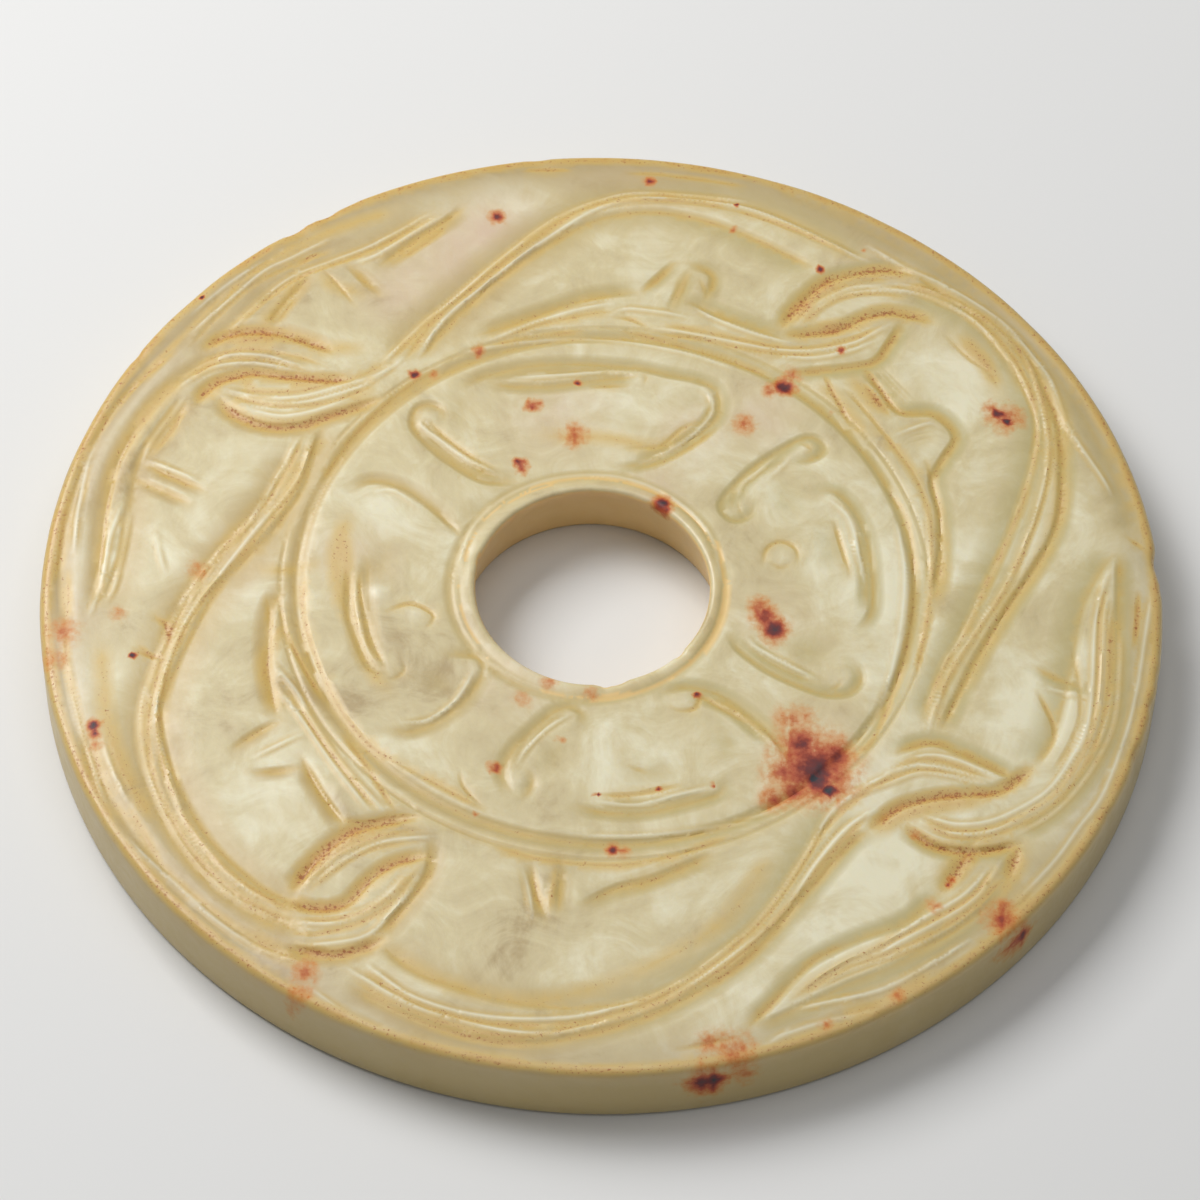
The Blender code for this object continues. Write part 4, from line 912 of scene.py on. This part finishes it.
    def turn_band(self, name: str, centre_x: float, sides: int, profile: Sequence[tuple[float, float]]
                  ) -> bpy.types.Object:
        """Turns a band of the stone by extruding a circle along a profile.

        Args:
            name: what the band is called.
            centre_x: X of the axis it is turned about.
            sides: how many sides the circle has.
            profile: radius and height of each circle.

        Returns:
            The band, open at both ends.
        """
        radius, height = profile[0]
        bpy.ops.object.select_all(action="DESELECT")
        bpy.ops.mesh.primitive_circle_add(vertices=sides, radius=radius, fill_type="NOTHING",
                                          location=(centre_x, 0, height))
        band = bpy.context.object
        band.name = name
        bpy.ops.object.transform_apply(location=True, rotation=True, scale=True)
        bpy.ops.object.mode_set(mode="EDIT")
        bpy.ops.mesh.select_all(action="SELECT")
        for wider, higher in profile[1:]:
            bpy.ops.mesh.extrude_edges_move(TRANSFORM_OT_translate={"value": (0, 0, higher - height)})
            bpy.ops.transform.resize(value=(wider / radius, wider / radius, 1), center_override=(centre_x, 0, 0))
            radius, height = wider, higher
        bpy.ops.object.mode_set(mode="OBJECT")
        return band

    def rim_profile(self) -> list[tuple[float, float]]:
        """Circles from the face's outer edge over the rim to the incised line of the underside.

        Returns:
            Radius and height of each circle.
        """
        shoulder = self.thickness - self.border_fall - self.rim_rounding
        profile = [(self.face_radius(), shoulder + self.rim_rounding)]
        for step in range(1, 6):
            turn = math.pi / 2 * step / 5
            profile.append((self.face_radius() + self.rim_rounding * math.sin(turn),
                            shoulder + self.rim_rounding * math.cos(turn)))
        for share in (0.75, 0.5, 0.25):
            profile.append((self.radius, self.foot_rounding + (shoulder - self.foot_rounding) * share))
        for step in range(5):
            turn = math.pi / 2 * step / 4
            profile.append((self.radius - self.foot_rounding * (1 - math.cos(turn)),
                            self.foot_rounding * (1 - math.sin(turn))))
        middle = self.radius - self.line_inset
        return profile + self.incised_line(middle, -1)

    def incised_line(self, middle: float, way: int) -> list[tuple[float, float]]:
        """The V of an incised line on the underside, then flat circles beyond it.

        Args:
            middle: radius of the line.
            way: -1 to walk inwards and 1 to walk outwards.

        Returns:
            Radius and height of each circle.
        """
        half = self.line_width / 2
        flat = [(middle + way * (half + gap * MM), 0.0) for gap in (0.0, 0.4, 4.0, 8.0, 12.0)]
        return [(middle - way * half, 0.0), (middle, self.line_depth)] + flat

    def bore_profile(self) -> list[tuple[float, float]]:
        """Circles from the face's inner edge down the bore to the incised line of the underside.

        Returns:
            Radius and height of each circle.
        """
        profile = [(self.mouth_radius(), self.thickness)]
        for step in range(1, 5):
            turn = math.pi / 2 * step / 4
            profile.append((self.mouth_radius() - self.bore_rounding * math.sin(turn),
                            self.thickness - self.bore_rounding * (1 - math.cos(turn))))
        for share in (0.8, 0.6, 0.4, 0.2):
            profile.append((self.bore_radius + self.bore_taper * (1 - share),
                            self.bore_rounding + (self.thickness - 2 * self.bore_rounding) * share))
        for step in range(4):
            turn = math.pi / 2 * step / 3
            profile.append((self.mouth_radius() + self.bore_taper - self.bore_rounding * math.cos(turn),
                            self.bore_rounding * (1 - math.sin(turn))))
        return profile + self.incised_line(self.bore_radius + self.line_inset, 1)

    def wear_edges(self, stone: bpy.types.Object) -> None:
        """Chips the rim and the mouth of the bore, and makes both edges a little uneven.

        Args:
            stone: the joined disc.
        """
        mesh = stone.data
        corners = mesh_corners(mesh)
        high = np.clip((corners[:, 2] - 2.5 * MM) / (4.5 * MM), 0, 1)
        wave = np.array([noise.noise(Vector((x * 170, y * 170, 0.0))) for x, y in corners[:, :2]])
        for chips, axis_x, edge, way in ((RIM_CHIPS, 0.0, self.radius, -1),
                                         (BORE_CHIPS, self.bore_offset, self.bore_radius, 1)):
            across, up = corners[:, 0] - axis_x, corners[:, 1]
            radius = np.hypot(across, up)
            bearing = np.degrees(np.arctan2(up, across))
            loss = self.edge_wear * (0.6 + wave)
            for middle, half_width, depth in chips:
                away = np.abs((bearing - middle + 180) % 360 - 180) / half_width
                loss = loss + depth * MM * np.clip(1 - away * away, 0, 1) * (1 + 0.5 * wave)
            loss = np.maximum(loss, 0) * high * np.clip(1 - np.abs(radius - edge) / self.chip_reach, 0, 1)
            corners[:, 0] += way * loss * across / radius
            corners[:, 1] += way * loss * up / radius
            corners[:, 2] -= 0.7 * loss * np.clip(high * 2 - 1, 0, 1)
        mesh.vertices.foreach_set("co", corners.astype(np.float32).ravel())
        mesh.update()

    def build(self, carving: Carving) -> bpy.types.Object:
        """Joins the carved face, the rim and the bore into one closed stone.

        Args:
            carving: the relief on the face.

        Returns:
            The finished disc at the origin.
        """
        face = self.carve_face(carving)
        rim = self.turn_band("rim", 0, self.rim_sides, self.rim_profile())
        bore = self.turn_band("bore", self.bore_offset, self.bore_sides, self.bore_profile())
        bpy.ops.object.select_all(action="DESELECT")
        for piece in (rim, bore, face):
            piece.select_set(True)
        bpy.context.view_layer.objects.active = face
        bpy.ops.object.join()
        face.name = "carved_stone"
        bpy.ops.object.mode_set(mode="EDIT")
        bpy.ops.mesh.select_all(action="SELECT")
        bpy.ops.mesh.remove_doubles(threshold=self.weld)
        bpy.ops.mesh.select_mode(type="EDGE")
        bpy.ops.mesh.select_all(action="DESELECT")
        bpy.ops.mesh.select_non_manifold(extend=False, use_wire=False, use_boundary=True, use_multi_face=False,
                                         use_non_contiguous=False, use_verts=False)
        bpy.ops.mesh.fill(use_beauty=False)
        bpy.ops.mesh.select_all(action="SELECT")
        bpy.ops.mesh.normals_make_consistent(inside=False)
        bpy.ops.object.mode_set(mode="OBJECT")
        self.wear_edges(face)
        bpy.ops.object.shade_smooth_by_angle(angle=math.radians(50))
        return face


@dataclass(frozen=True)
class JadeFinish:
    """Celadon nephrite: cream and pale green clouds, tan towards the edges, russet spots and old dirt, with painted
    shade in the carved hollows and a painted highlight on the ridge crests.
    """

    celadon: Colour = (0.63, 0.54, 0.315)
    cloud: Colour = (0.76, 0.71, 0.51)
    # Painted shade: olive laid into the carved hollows towards the right.
    olive: Colour = (0.47, 0.39, 0.165)
    # Painted shade: ochre laid into the carved hollows towards the left and the rim.
    ochre: Colour = (0.50, 0.36, 0.14)
    tan: Colour = (0.42, 0.315, 0.15)
    gold: Colour = (0.61, 0.41, 0.10)
    wall: Colour = (0.53, 0.40, 0.155)
    bore_wall: Colour = (0.80, 0.55, 0.22)
    # Painted highlight: pale cream laid on the ridge crests.
    crest_highlight: Colour = (0.80, 0.77, 0.60)
    blush: Colour = (0.63, 0.48, 0.335)
    stain: Colour = (0.54, 0.265, 0.05)
    dirt: Colour = (0.33, 0.10, 0.022)
    edge_from: float = 53.0 * MM
    edge_span: float = 6.0 * MM
    arris_radius: float = 59.2 * MM
    arris_half: float = 0.9 * MM
    subsurface: float = 0.4
    subsurface_scale: float = 1.5 * MM
    ior: float = 1.55
    coat: float = 0.09
    coat_roughness: float = 0.2
    bump_strength: float = 0.6
    bump_height: float = 0.1 * MM

    def paint(self, stone: bpy.types.Object, disc: Disc, carving: Carving) -> None:
        """Stores on the stone where the dirt, hollows, crests, edges and spots are; the hollows carry painted shade and
        the crests a painted highlight.

        Args:
            stone: the finished disc.
            disc: its sizes.
            carving: its relief.
        """
        mesh = stone.data
        corners = mesh_corners(mesh)
        places = corners[:, :2]
        relief = carving.measure(places)
        on_face = np.clip((corners[:, 2] - disc.thickness + 2.2 * MM) / (0.6 * MM), 0, 1)
        on_face *= disc.from_edges(places) > -0.1 * MM
        outside = np.hypot(*places.T)
        edge = np.clip((outside - self.edge_from) / self.edge_span, 0, 1) ** 1.15
        edge *= 0.8 + (0.25 * places[:, 1] - 0.2 * places[:, 0]) / np.maximum(outside, MM)
        arris = np.clip(1 - np.abs(outside - self.arris_radius) / self.arris_half, 0, 1)
        arris *= corners[:, 2] > disc.thickness - 1.8 * MM
        below = np.clip((disc.thickness - 0.9 * MM - corners[:, 2]) / (1.2 * MM), 0, 1)
        in_bore = np.hypot(places[:, 0] - disc.bore_offset, places[:, 1]) < disc.mouth_radius() + disc.bore_taper
        in_bore &= corners[:, 2] < disc.thickness - 0.25 * MM
        in_bore &= corners[:, 2] > 0.05 * MM
        layers = {"dirt": np.maximum(relief.dirt * on_face, 0.6 * arris),
                  "hollow_shade": relief.hollow_shade * on_face, "crest_highlight": relief.crest_highlight * on_face,
                  "edge": edge, "below": below * (1 - in_bore), "in_bore": in_bore.astype(float),
                  "tone": 0.5 + 0.5 * self.patches(places, PATCHES), "blush": self.patches(places, BLUSHES),
                  "warm": np.clip(0.4 - 1.1 * places[:, 0] / disc.radius + 0.5 * (outside / disc.radius - 0.6), 0, 1),
                  "rust": self.rust(corners, disc)}
        for name, values in layers.items():
            layer = mesh.attributes.new(name, "FLOAT", "POINT")
            layer.data.foreach_set("value", values.astype(np.float32))

    def patches(self, places: np.ndarray, patches: Sequence[Spot]) -> np.ndarray:
        """Adds up soft round patches at each place, held between -1 and 1.

        Args:
            places: x, y rows in metres.
            patches: the patches and their strengths.

        Returns:
            One value for each place.
        """
        tone = np.zeros(len(places))
        for patch in patches:
            far = np.hypot(places[:, 0] - patch.x * SHARE, places[:, 1] - patch.y * SHARE)
            tone += patch.strength * np.exp(-(far / (patch.radius * SHARE * 0.8)) ** 2)
        return np.clip(tone, -1, 1)

    def rust(self, corners: np.ndarray, disc: Disc) -> np.ndarray:
        """How strong the mineral spots are at each corner of the mesh.

        Args:
            corners: x, y, z rows in metres.
            disc: the disc's sizes.

        Returns:
            A strength for each corner, 1 or more at a spot's core. Only spots past the rim run down the wall.
        """
        rust = np.zeros(len(corners))
        down = np.clip((disc.thickness - corners[:, 2]) / MM - 1.2, 0, None)
        beside = 0.25 * np.abs(down - 2.0)
        for spot in SPOTS:
            x, y = spot.x * SHARE, spot.y * SHARE
            out = math.hypot(x, y) / disc.radius
            drop = beside if out > 0.99 else down * (0.35 if out > 0.93 else 3.0)
            far = np.hypot(corners[:, 0] - x, corners[:, 1] - y) / (spot.radius * SHARE * 1.8) + drop
            rust = np.maximum(rust, spot.strength * np.clip(1 - far, 0, 1) ** 1.35)
        return rust

    def material(self) -> bpy.types.Material:
        """Builds the stone's material from noise and the stored layers.

        Returns:
            The material, named for the stone.
        """
        material = bpy.data.materials.new("celadon_nephrite")
        material.use_nodes = True
        net = NodeNet(material.node_tree)
        shader = net.tree.nodes["Principled BSDF"]
        clouds = net.noise(52, 5, 0.6, 1.2)
        wisps = net.noise(150, 6, 0.64, 1.3)
        grain = net.noise(640, 4, 0.65, 0.6)
        fine = net.noise(1500, 3, 0.6)
        tone = net.maths("ADD", net.scale(clouds, 2.1), net.scale(net.attribute("tone"), 0.75))
        tone = net.maths("ADD", tone, net.scale(wisps, 1.5))
        colour = net.colours(tone, ((1.6, self.tan), (1.93, self.olive_cream()), (2.2, self.celadon),
                                    (2.68, self.cloud)), 1.6, 2.68)
        blush = net.maths("MULTIPLY", net.attribute("blush"), net.ramp(net.noise(120, 4, 0.6, 1.0),
                                                                      ((0.3, 0.25), (0.65, 1.0))))
        colour = net.mix(blush, colour, self.blush)
        # Painted shade: the carved hollows are darkened to olive and ochre.
        hollow_shade = net.attribute("hollow_shade")
        hollow = net.mix(net.attribute("warm"), self.olive, self.ochre)
        colour = net.mix(net.ramp(hollow_shade, ((0.0, 0.0), (0.5, 0.5), (1.0, 0.85))), colour, hollow)
        worn = net.maths("MULTIPLY", net.attribute("edge"), net.ramp(wisps, ((0.3, 0.65), (0.6, 1.0))))
        colour = net.mix(worn, colour, self.tan)
        colour = net.mix(net.scale(net.attribute("below"), 0.8), colour, self.wall)
        colour = net.mix(net.scale(net.attribute("in_bore"), 0.8), colour, self.bore_wall)
        # Painted highlight: pale cream on the raised ridge crests.
        colour = net.mix(net.scale(net.attribute("crest_highlight"), 0.6), colour, self.crest_highlight)
        dirt = net.attribute("dirt")
        patchy = net.maths("MULTIPLY", dirt, net.ramp(wisps, ((0.32, 0.35), (0.6, 1.0))))
        colour = net.mix(net.ramp(patchy, ((0.0, 0.0), (0.25, 0.65), (1.0, 0.95))), colour,
                         net.colours(patchy, ((0.25, self.gold), (0.85, self.stain))))
        dust = net.maths("ADD", net.noise(3000, 3, 0.7), net.scale(dirt, 0.2))
        dust = net.maths("MULTIPLY", net.ramp(dust, ((0.68, 0.0), (0.76, 0.8))),
                         net.ramp(dirt, ((0.1, 0.0), (0.3, 1.0))))
        pits = net.maths("MULTIPLY", net.specks(2000), net.ramp(patchy, ((0.3, 0.0), (0.6, 0.85))))
        pits = net.maths("MAXIMUM", pits, dust)
        colour = net.mix(pits, colour, self.dirt)
        uneven = net.maths("ADD", net.scale(net.streaks(500), 0.55), net.scale(fine, 0.6))
        uneven = net.maths("SUBTRACT", uneven, 0.57)
        ragged = net.maths("ADD", net.attribute("rust"), uneven)
        depth = net.maths("ADD", net.attribute("rust"), net.scale(uneven, 0.6))
        near_rust = net.ramp(net.attribute("rust"), ((0.0, 0.0), (0.12, 1.0)))
        share = net.maths("MULTIPLY", near_rust, net.ramp(ragged, ((0.0, 0.0), (0.2, 0.5), (0.4, 0.9), (0.6, 1.0))))
        colour = net.mix(share, colour,
                         net.colours(depth, ((0.05, (0.60, 0.32, 0.08)), (0.28, (0.58, 0.20, 0.025)),
                                              (0.5, (0.42, 0.06, 0.01)), (0.68, (0.15, 0.014, 0.01)),
                                              (1.0, (0.022, 0.024, 0.032)))))
        net.link(colour, shader.inputs["Base Color"])
        rough = net.maths("ADD", net.scale(pits, 0.35), net.ramp(grain, ((0.3, 0.33), (0.7, 0.46))))
        rough = net.maths("ADD", rough, net.scale(share, 0.3))
        net.link(rough, shader.inputs["Roughness"])
        shader.inputs["Subsurface Weight"].default_value = self.subsurface
        shader.inputs["Subsurface Radius"].default_value = (1.0, 0.8, 0.5)
        shader.inputs["Subsurface Scale"].default_value = self.subsurface_scale
        shader.inputs["IOR"].default_value = self.ior
        shader.inputs["Coat Weight"].default_value = self.coat
        shader.inputs["Coat Roughness"].default_value = self.coat_roughness
        bump = net.tree.nodes.new("ShaderNodeBump")
        bump.inputs["Strength"].default_value = self.bump_strength
        bump.inputs["Distance"].default_value = self.bump_height
        net.link(net.noise(300, 3, 0.55), bump.inputs["Height"])
        net.link(bump.outputs["Normal"], shader.inputs["Normal"])
        return material

    def olive_cream(self) -> Colour:
        """The stone's middle tone, between celadon and olive."""
        return tuple(0.7 * a + 0.3 * b for a, b in zip(self.celadon, self.tan))


class NodeNet:
    """Short names for the shader nodes that the finishes are woven from."""

    def __init__(self, tree: bpy.types.NodeTree) -> None:
        """Keeps the tree and a Texture Coordinate node to read Object coordinates from."""
        self.tree = tree
        self.place = tree.nodes.new("ShaderNodeTexCoord").outputs["Object"]

    def link(self, source: Socket | float | Colour, target: Socket) -> None:
        """Feeds an input.

        Args:
            source: a socket to link, or a number or a colour to set.
            target: the input.
        """
        if isinstance(source, Socket):
            self.tree.links.new(source, target)
        elif isinstance(source, tuple):
            target.default_value = (*source, 1.0)
        else:
            target.default_value = source

    def noise(self, scale: float, detail: float, rough: float, warp: float = 0.0) -> Socket:
        """Noise over the stone.

        Args:
            scale: how many waves there are to a metre, about.
            detail: how many finer layers are added.
            rough: how strong the finer layers are.
            warp: how far the noise bends itself.

        Returns:
            A value from 0 to 1.
        """
        node = self.tree.nodes.new("ShaderNodeTexNoise")
        self.tree.links.new(self.place, node.inputs["Vector"])
        node.inputs["Scale"].default_value = scale
        node.inputs["Detail"].default_value = detail
        node.inputs["Roughness"].default_value = rough
        node.inputs["Distortion"].default_value = warp
        return node.outputs["Fac"]

    def attribute(self, name: str) -> Socket:
        """Reads a layer that the finish stored on the mesh.

        Args:
            name: the layer's name.

        Returns:
            The layer's value.
        """
        node = self.tree.nodes.new("ShaderNodeAttribute")
        node.attribute_name = name
        return node.outputs["Fac"]

    def maths(self, kind: str, first: Socket | float, second: Socket | float) -> Socket:
        """Works out a value from two others.

        Args:
            kind: the Math node's operation.
            first: the first value.
            second: the second value.

        Returns:
            The result.
        """
        node = self.tree.nodes.new("ShaderNodeMath")
        node.operation = kind
        self.link(first, node.inputs[0])
        self.link(second, node.inputs[1])
        return node.outputs[0]

    def scale(self, value: Socket, factor: float) -> Socket:
        """A value times a factor."""
        return self.maths("MULTIPLY", value, factor)

    def mix(self, share: Socket, first: Socket | Colour, second: Socket | Colour) -> Socket:
        """Mixes two colours.

        Args:
            share: 0 for the first colour alone, 1 for the second alone.
            first: the first colour.
            second: the second colour.

        Returns:
            The mixed colour.
        """
        node = self.tree.nodes.new("ShaderNodeMix")
        node.data_type = "RGBA"
        node.clamp_factor = True
        self.link(share, node.inputs["Factor"])
        self.link(first, node.inputs[6])
        self.link(second, node.inputs[7])
        return node.outputs[2]

    def ramp(self, value: Socket, stops: Sequence[tuple[float, float]]) -> Socket:
        """Maps a value to shares of 0 to 1 by stops of place and share."""
        return self.colours(value, [(place, (share, share, share)) for place, share in stops])

    def streaks(self, scale: float) -> Socket:
        """Noise drawn out along the stone's grain, which runs nearly from front to back.

        Args:
            scale: how many waves there are to a metre across the grain, about.

        Returns:
            A value from 0 to 1.
        """
        turn = self.tree.nodes.new("ShaderNodeMapping")
        self.tree.links.new(self.place, turn.inputs["Vector"])
        turn.inputs["Rotation"].default_value = (0, 0, -0.3)
        turn.inputs["Scale"].default_value = (1.0, 0.4, 1.0)
        node = self.tree.nodes.new("ShaderNodeTexNoise")
        self.tree.links.new(turn.outputs["Vector"], node.inputs["Vector"])
        node.inputs["Scale"].default_value = scale
        node.inputs["Detail"].default_value = 3.0
        node.inputs["Distortion"].default_value = 0.8
        return node.outputs["Fac"]

    def specks(self, scale: float) -> Socket:
        """Small round specks here and there.

        Args:
            scale: how many specks there would be to a metre, about.

        Returns:
            1 inside a speck and 0 outside.
        """
        node = self.tree.nodes.new("ShaderNodeTexVoronoi")
        self.tree.links.new(self.place, node.inputs["Vector"])
        node.inputs["Scale"].default_value = scale
        dots = self.ramp(node.outputs["Distance"], ((0.22, 1.0), (0.45, 0.0)))
        return self.maths("MULTIPLY", dots, self.ramp(node.outputs["Color"], ((0.5, 0.0), (0.56, 1.0))))

    def colours(self, value: Socket, stops: Sequence[tuple[float, Colour]],
                low: float = 0.0, high: float = 1.0) -> Socket:
        """Maps a value to colours by stops of place and colour.

        Args:
            value: what is mapped.
            stops: places between low and high, each with its colour.
            low: the value at the ramp's start.
            high: the value at the ramp's end.

        Returns:
            The colour socket.
        """
        if (low, high) != (0.0, 1.0):
            value = self.scale(self.maths("SUBTRACT", value, low), 1 / (high - low))
        node = self.tree.nodes.new("ShaderNodeValToRGB")
        self.tree.links.new(value, node.inputs["Fac"])
        elements = node.color_ramp.elements
        while len(elements) < len(stops):
            elements.new(0.5)
        for element, (place, colour) in zip(elements, stops):
            element.position = (place - low) / (high - low)
            element.color = (*colour, 1.0)
        return node.outputs["Color"]


@dataclass(frozen=True)
class Studio:
    """The pale table, the soft lights and the camera at the photograph's place.

    Lengths of the camera are in radii of the disc and its lens in image widths.
    """

    elevation: float = 54.84
    distance: float = 9.525
    aim_x: float = -0.00293
    aim_y: float = -0.03226
    roll: float = 1.318
    focal: float = 4.4633
    sensor: float = 36.0
    table_side: float = 3.0
    window_power: float = 3.95
    overhead_power: float = 2.6
    room_strength: float = 0.23

    def camera(self, top: float) -> None:
        """Puts the camera where it looks down on the disc from the front.

        Args:
            top: height of the disc's face over the table.
        """
        rise = math.radians(self.elevation)
        aim = Vector((self.aim_x, self.aim_y, 0)) * DISC_RADIUS + Vector((0, 0, top))
        eye = Vector((0, -self.distance * math.cos(rise), self.distance * math.sin(rise))) * DISC_RADIUS
        eye.z += top
        ahead = (aim - eye).normalized()
        right = ahead.cross(Vector((0, 0, 1))).normalized()
        up = right.cross(ahead)
        lean = math.radians(self.roll)
        across = math.cos(lean) * right + math.sin(lean) * up
        upward = math.cos(lean) * up - math.sin(lean) * right
        data = bpy.data.cameras.new("camera")
        data.sensor_width = self.sensor
        data.lens = self.focal * self.sensor
        data.clip_start = 0.01
        camera = bpy.data.objects.new("camera", data)
        camera.matrix_world = Matrix.Translation(eye) @ Matrix((across, upward, -ahead)).transposed().to_4x4()
        bpy.context.scene.collection.objects.link(camera)
        bpy.context.scene.camera = camera

    def table(self) -> None:
        """Lays the pale floor that the disc rests on."""
        bpy.ops.object.select_all(action="DESELECT")
        bpy.ops.mesh.primitive_plane_add(size=self.table_side, location=(0, 0, 0))
        floor = bpy.context.object
        floor.name = "table"
        material = bpy.data.materials.new("pale_table")
        material.use_nodes = True
        shader = material.node_tree.nodes["Principled BSDF"]
        shader.inputs["Base Color"].default_value = (0.72, 0.715, 0.70, 1)
        shader.inputs["Roughness"].default_value = 0.9
        floor.data.materials.append(material)

    def light(self, name: str, place: tuple[float, float, float], size: float, power: float) -> None:
        """Hangs a square soft box that faces the disc.

        Args:
            name: what the light is called.
            place: where it hangs, in metres.
            size: length of its side in metres.
            power: its output in watts.
        """
        data = bpy.data.lights.new(name, "AREA")
        data.size = size
        data.energy = power
        lamp = bpy.data.objects.new(name, data)
        lamp.location = place
        lamp.rotation_euler = (-Vector(place)).to_track_quat("-Z", "Y").to_euler()
        bpy.context.scene.collection.objects.link(lamp)

    def lights(self) -> None:
        """Hangs the soft boxes and sets the pale room around them."""
        self.light("window", (-0.33, 0.26, 0.50), 0.38, self.window_power)
        self.light("overhead", (0.2, 0.0, 1.2), 0.8, self.overhead_power)
        world = bpy.data.worlds.new("room")
        bpy.context.scene.world = world
        world.use_nodes = True
        world.node_tree.nodes["Background"].inputs["Color"].default_value = (0.95, 0.97, 1.0, 1)
        world.node_tree.nodes["Background"].inputs["Strength"].default_value = self.room_strength


def main() -> None:
    """Builds the disc, dresses it, and sets the table, lights and camera."""
    logging.basicConfig(level=logging.INFO, format="%(message)s")
    bpy.context.scene.view_settings.view_transform = "Standard"
    disc = Disc()
    carving = Carving()
    studio = Studio()
    studio.camera(disc.thickness)
    studio.table()
    studio.lights()
    stone = disc.build(carving)
    finish = JadeFinish()
    finish.paint(stone, disc, carving)
    stone.data.materials.append(finish.material())
    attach(stone, "root")
    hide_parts("jade_disc")
    LOG.info("stone: %d faces", len(stone.data.polygons))


if __name__ == "__main__":
    main()
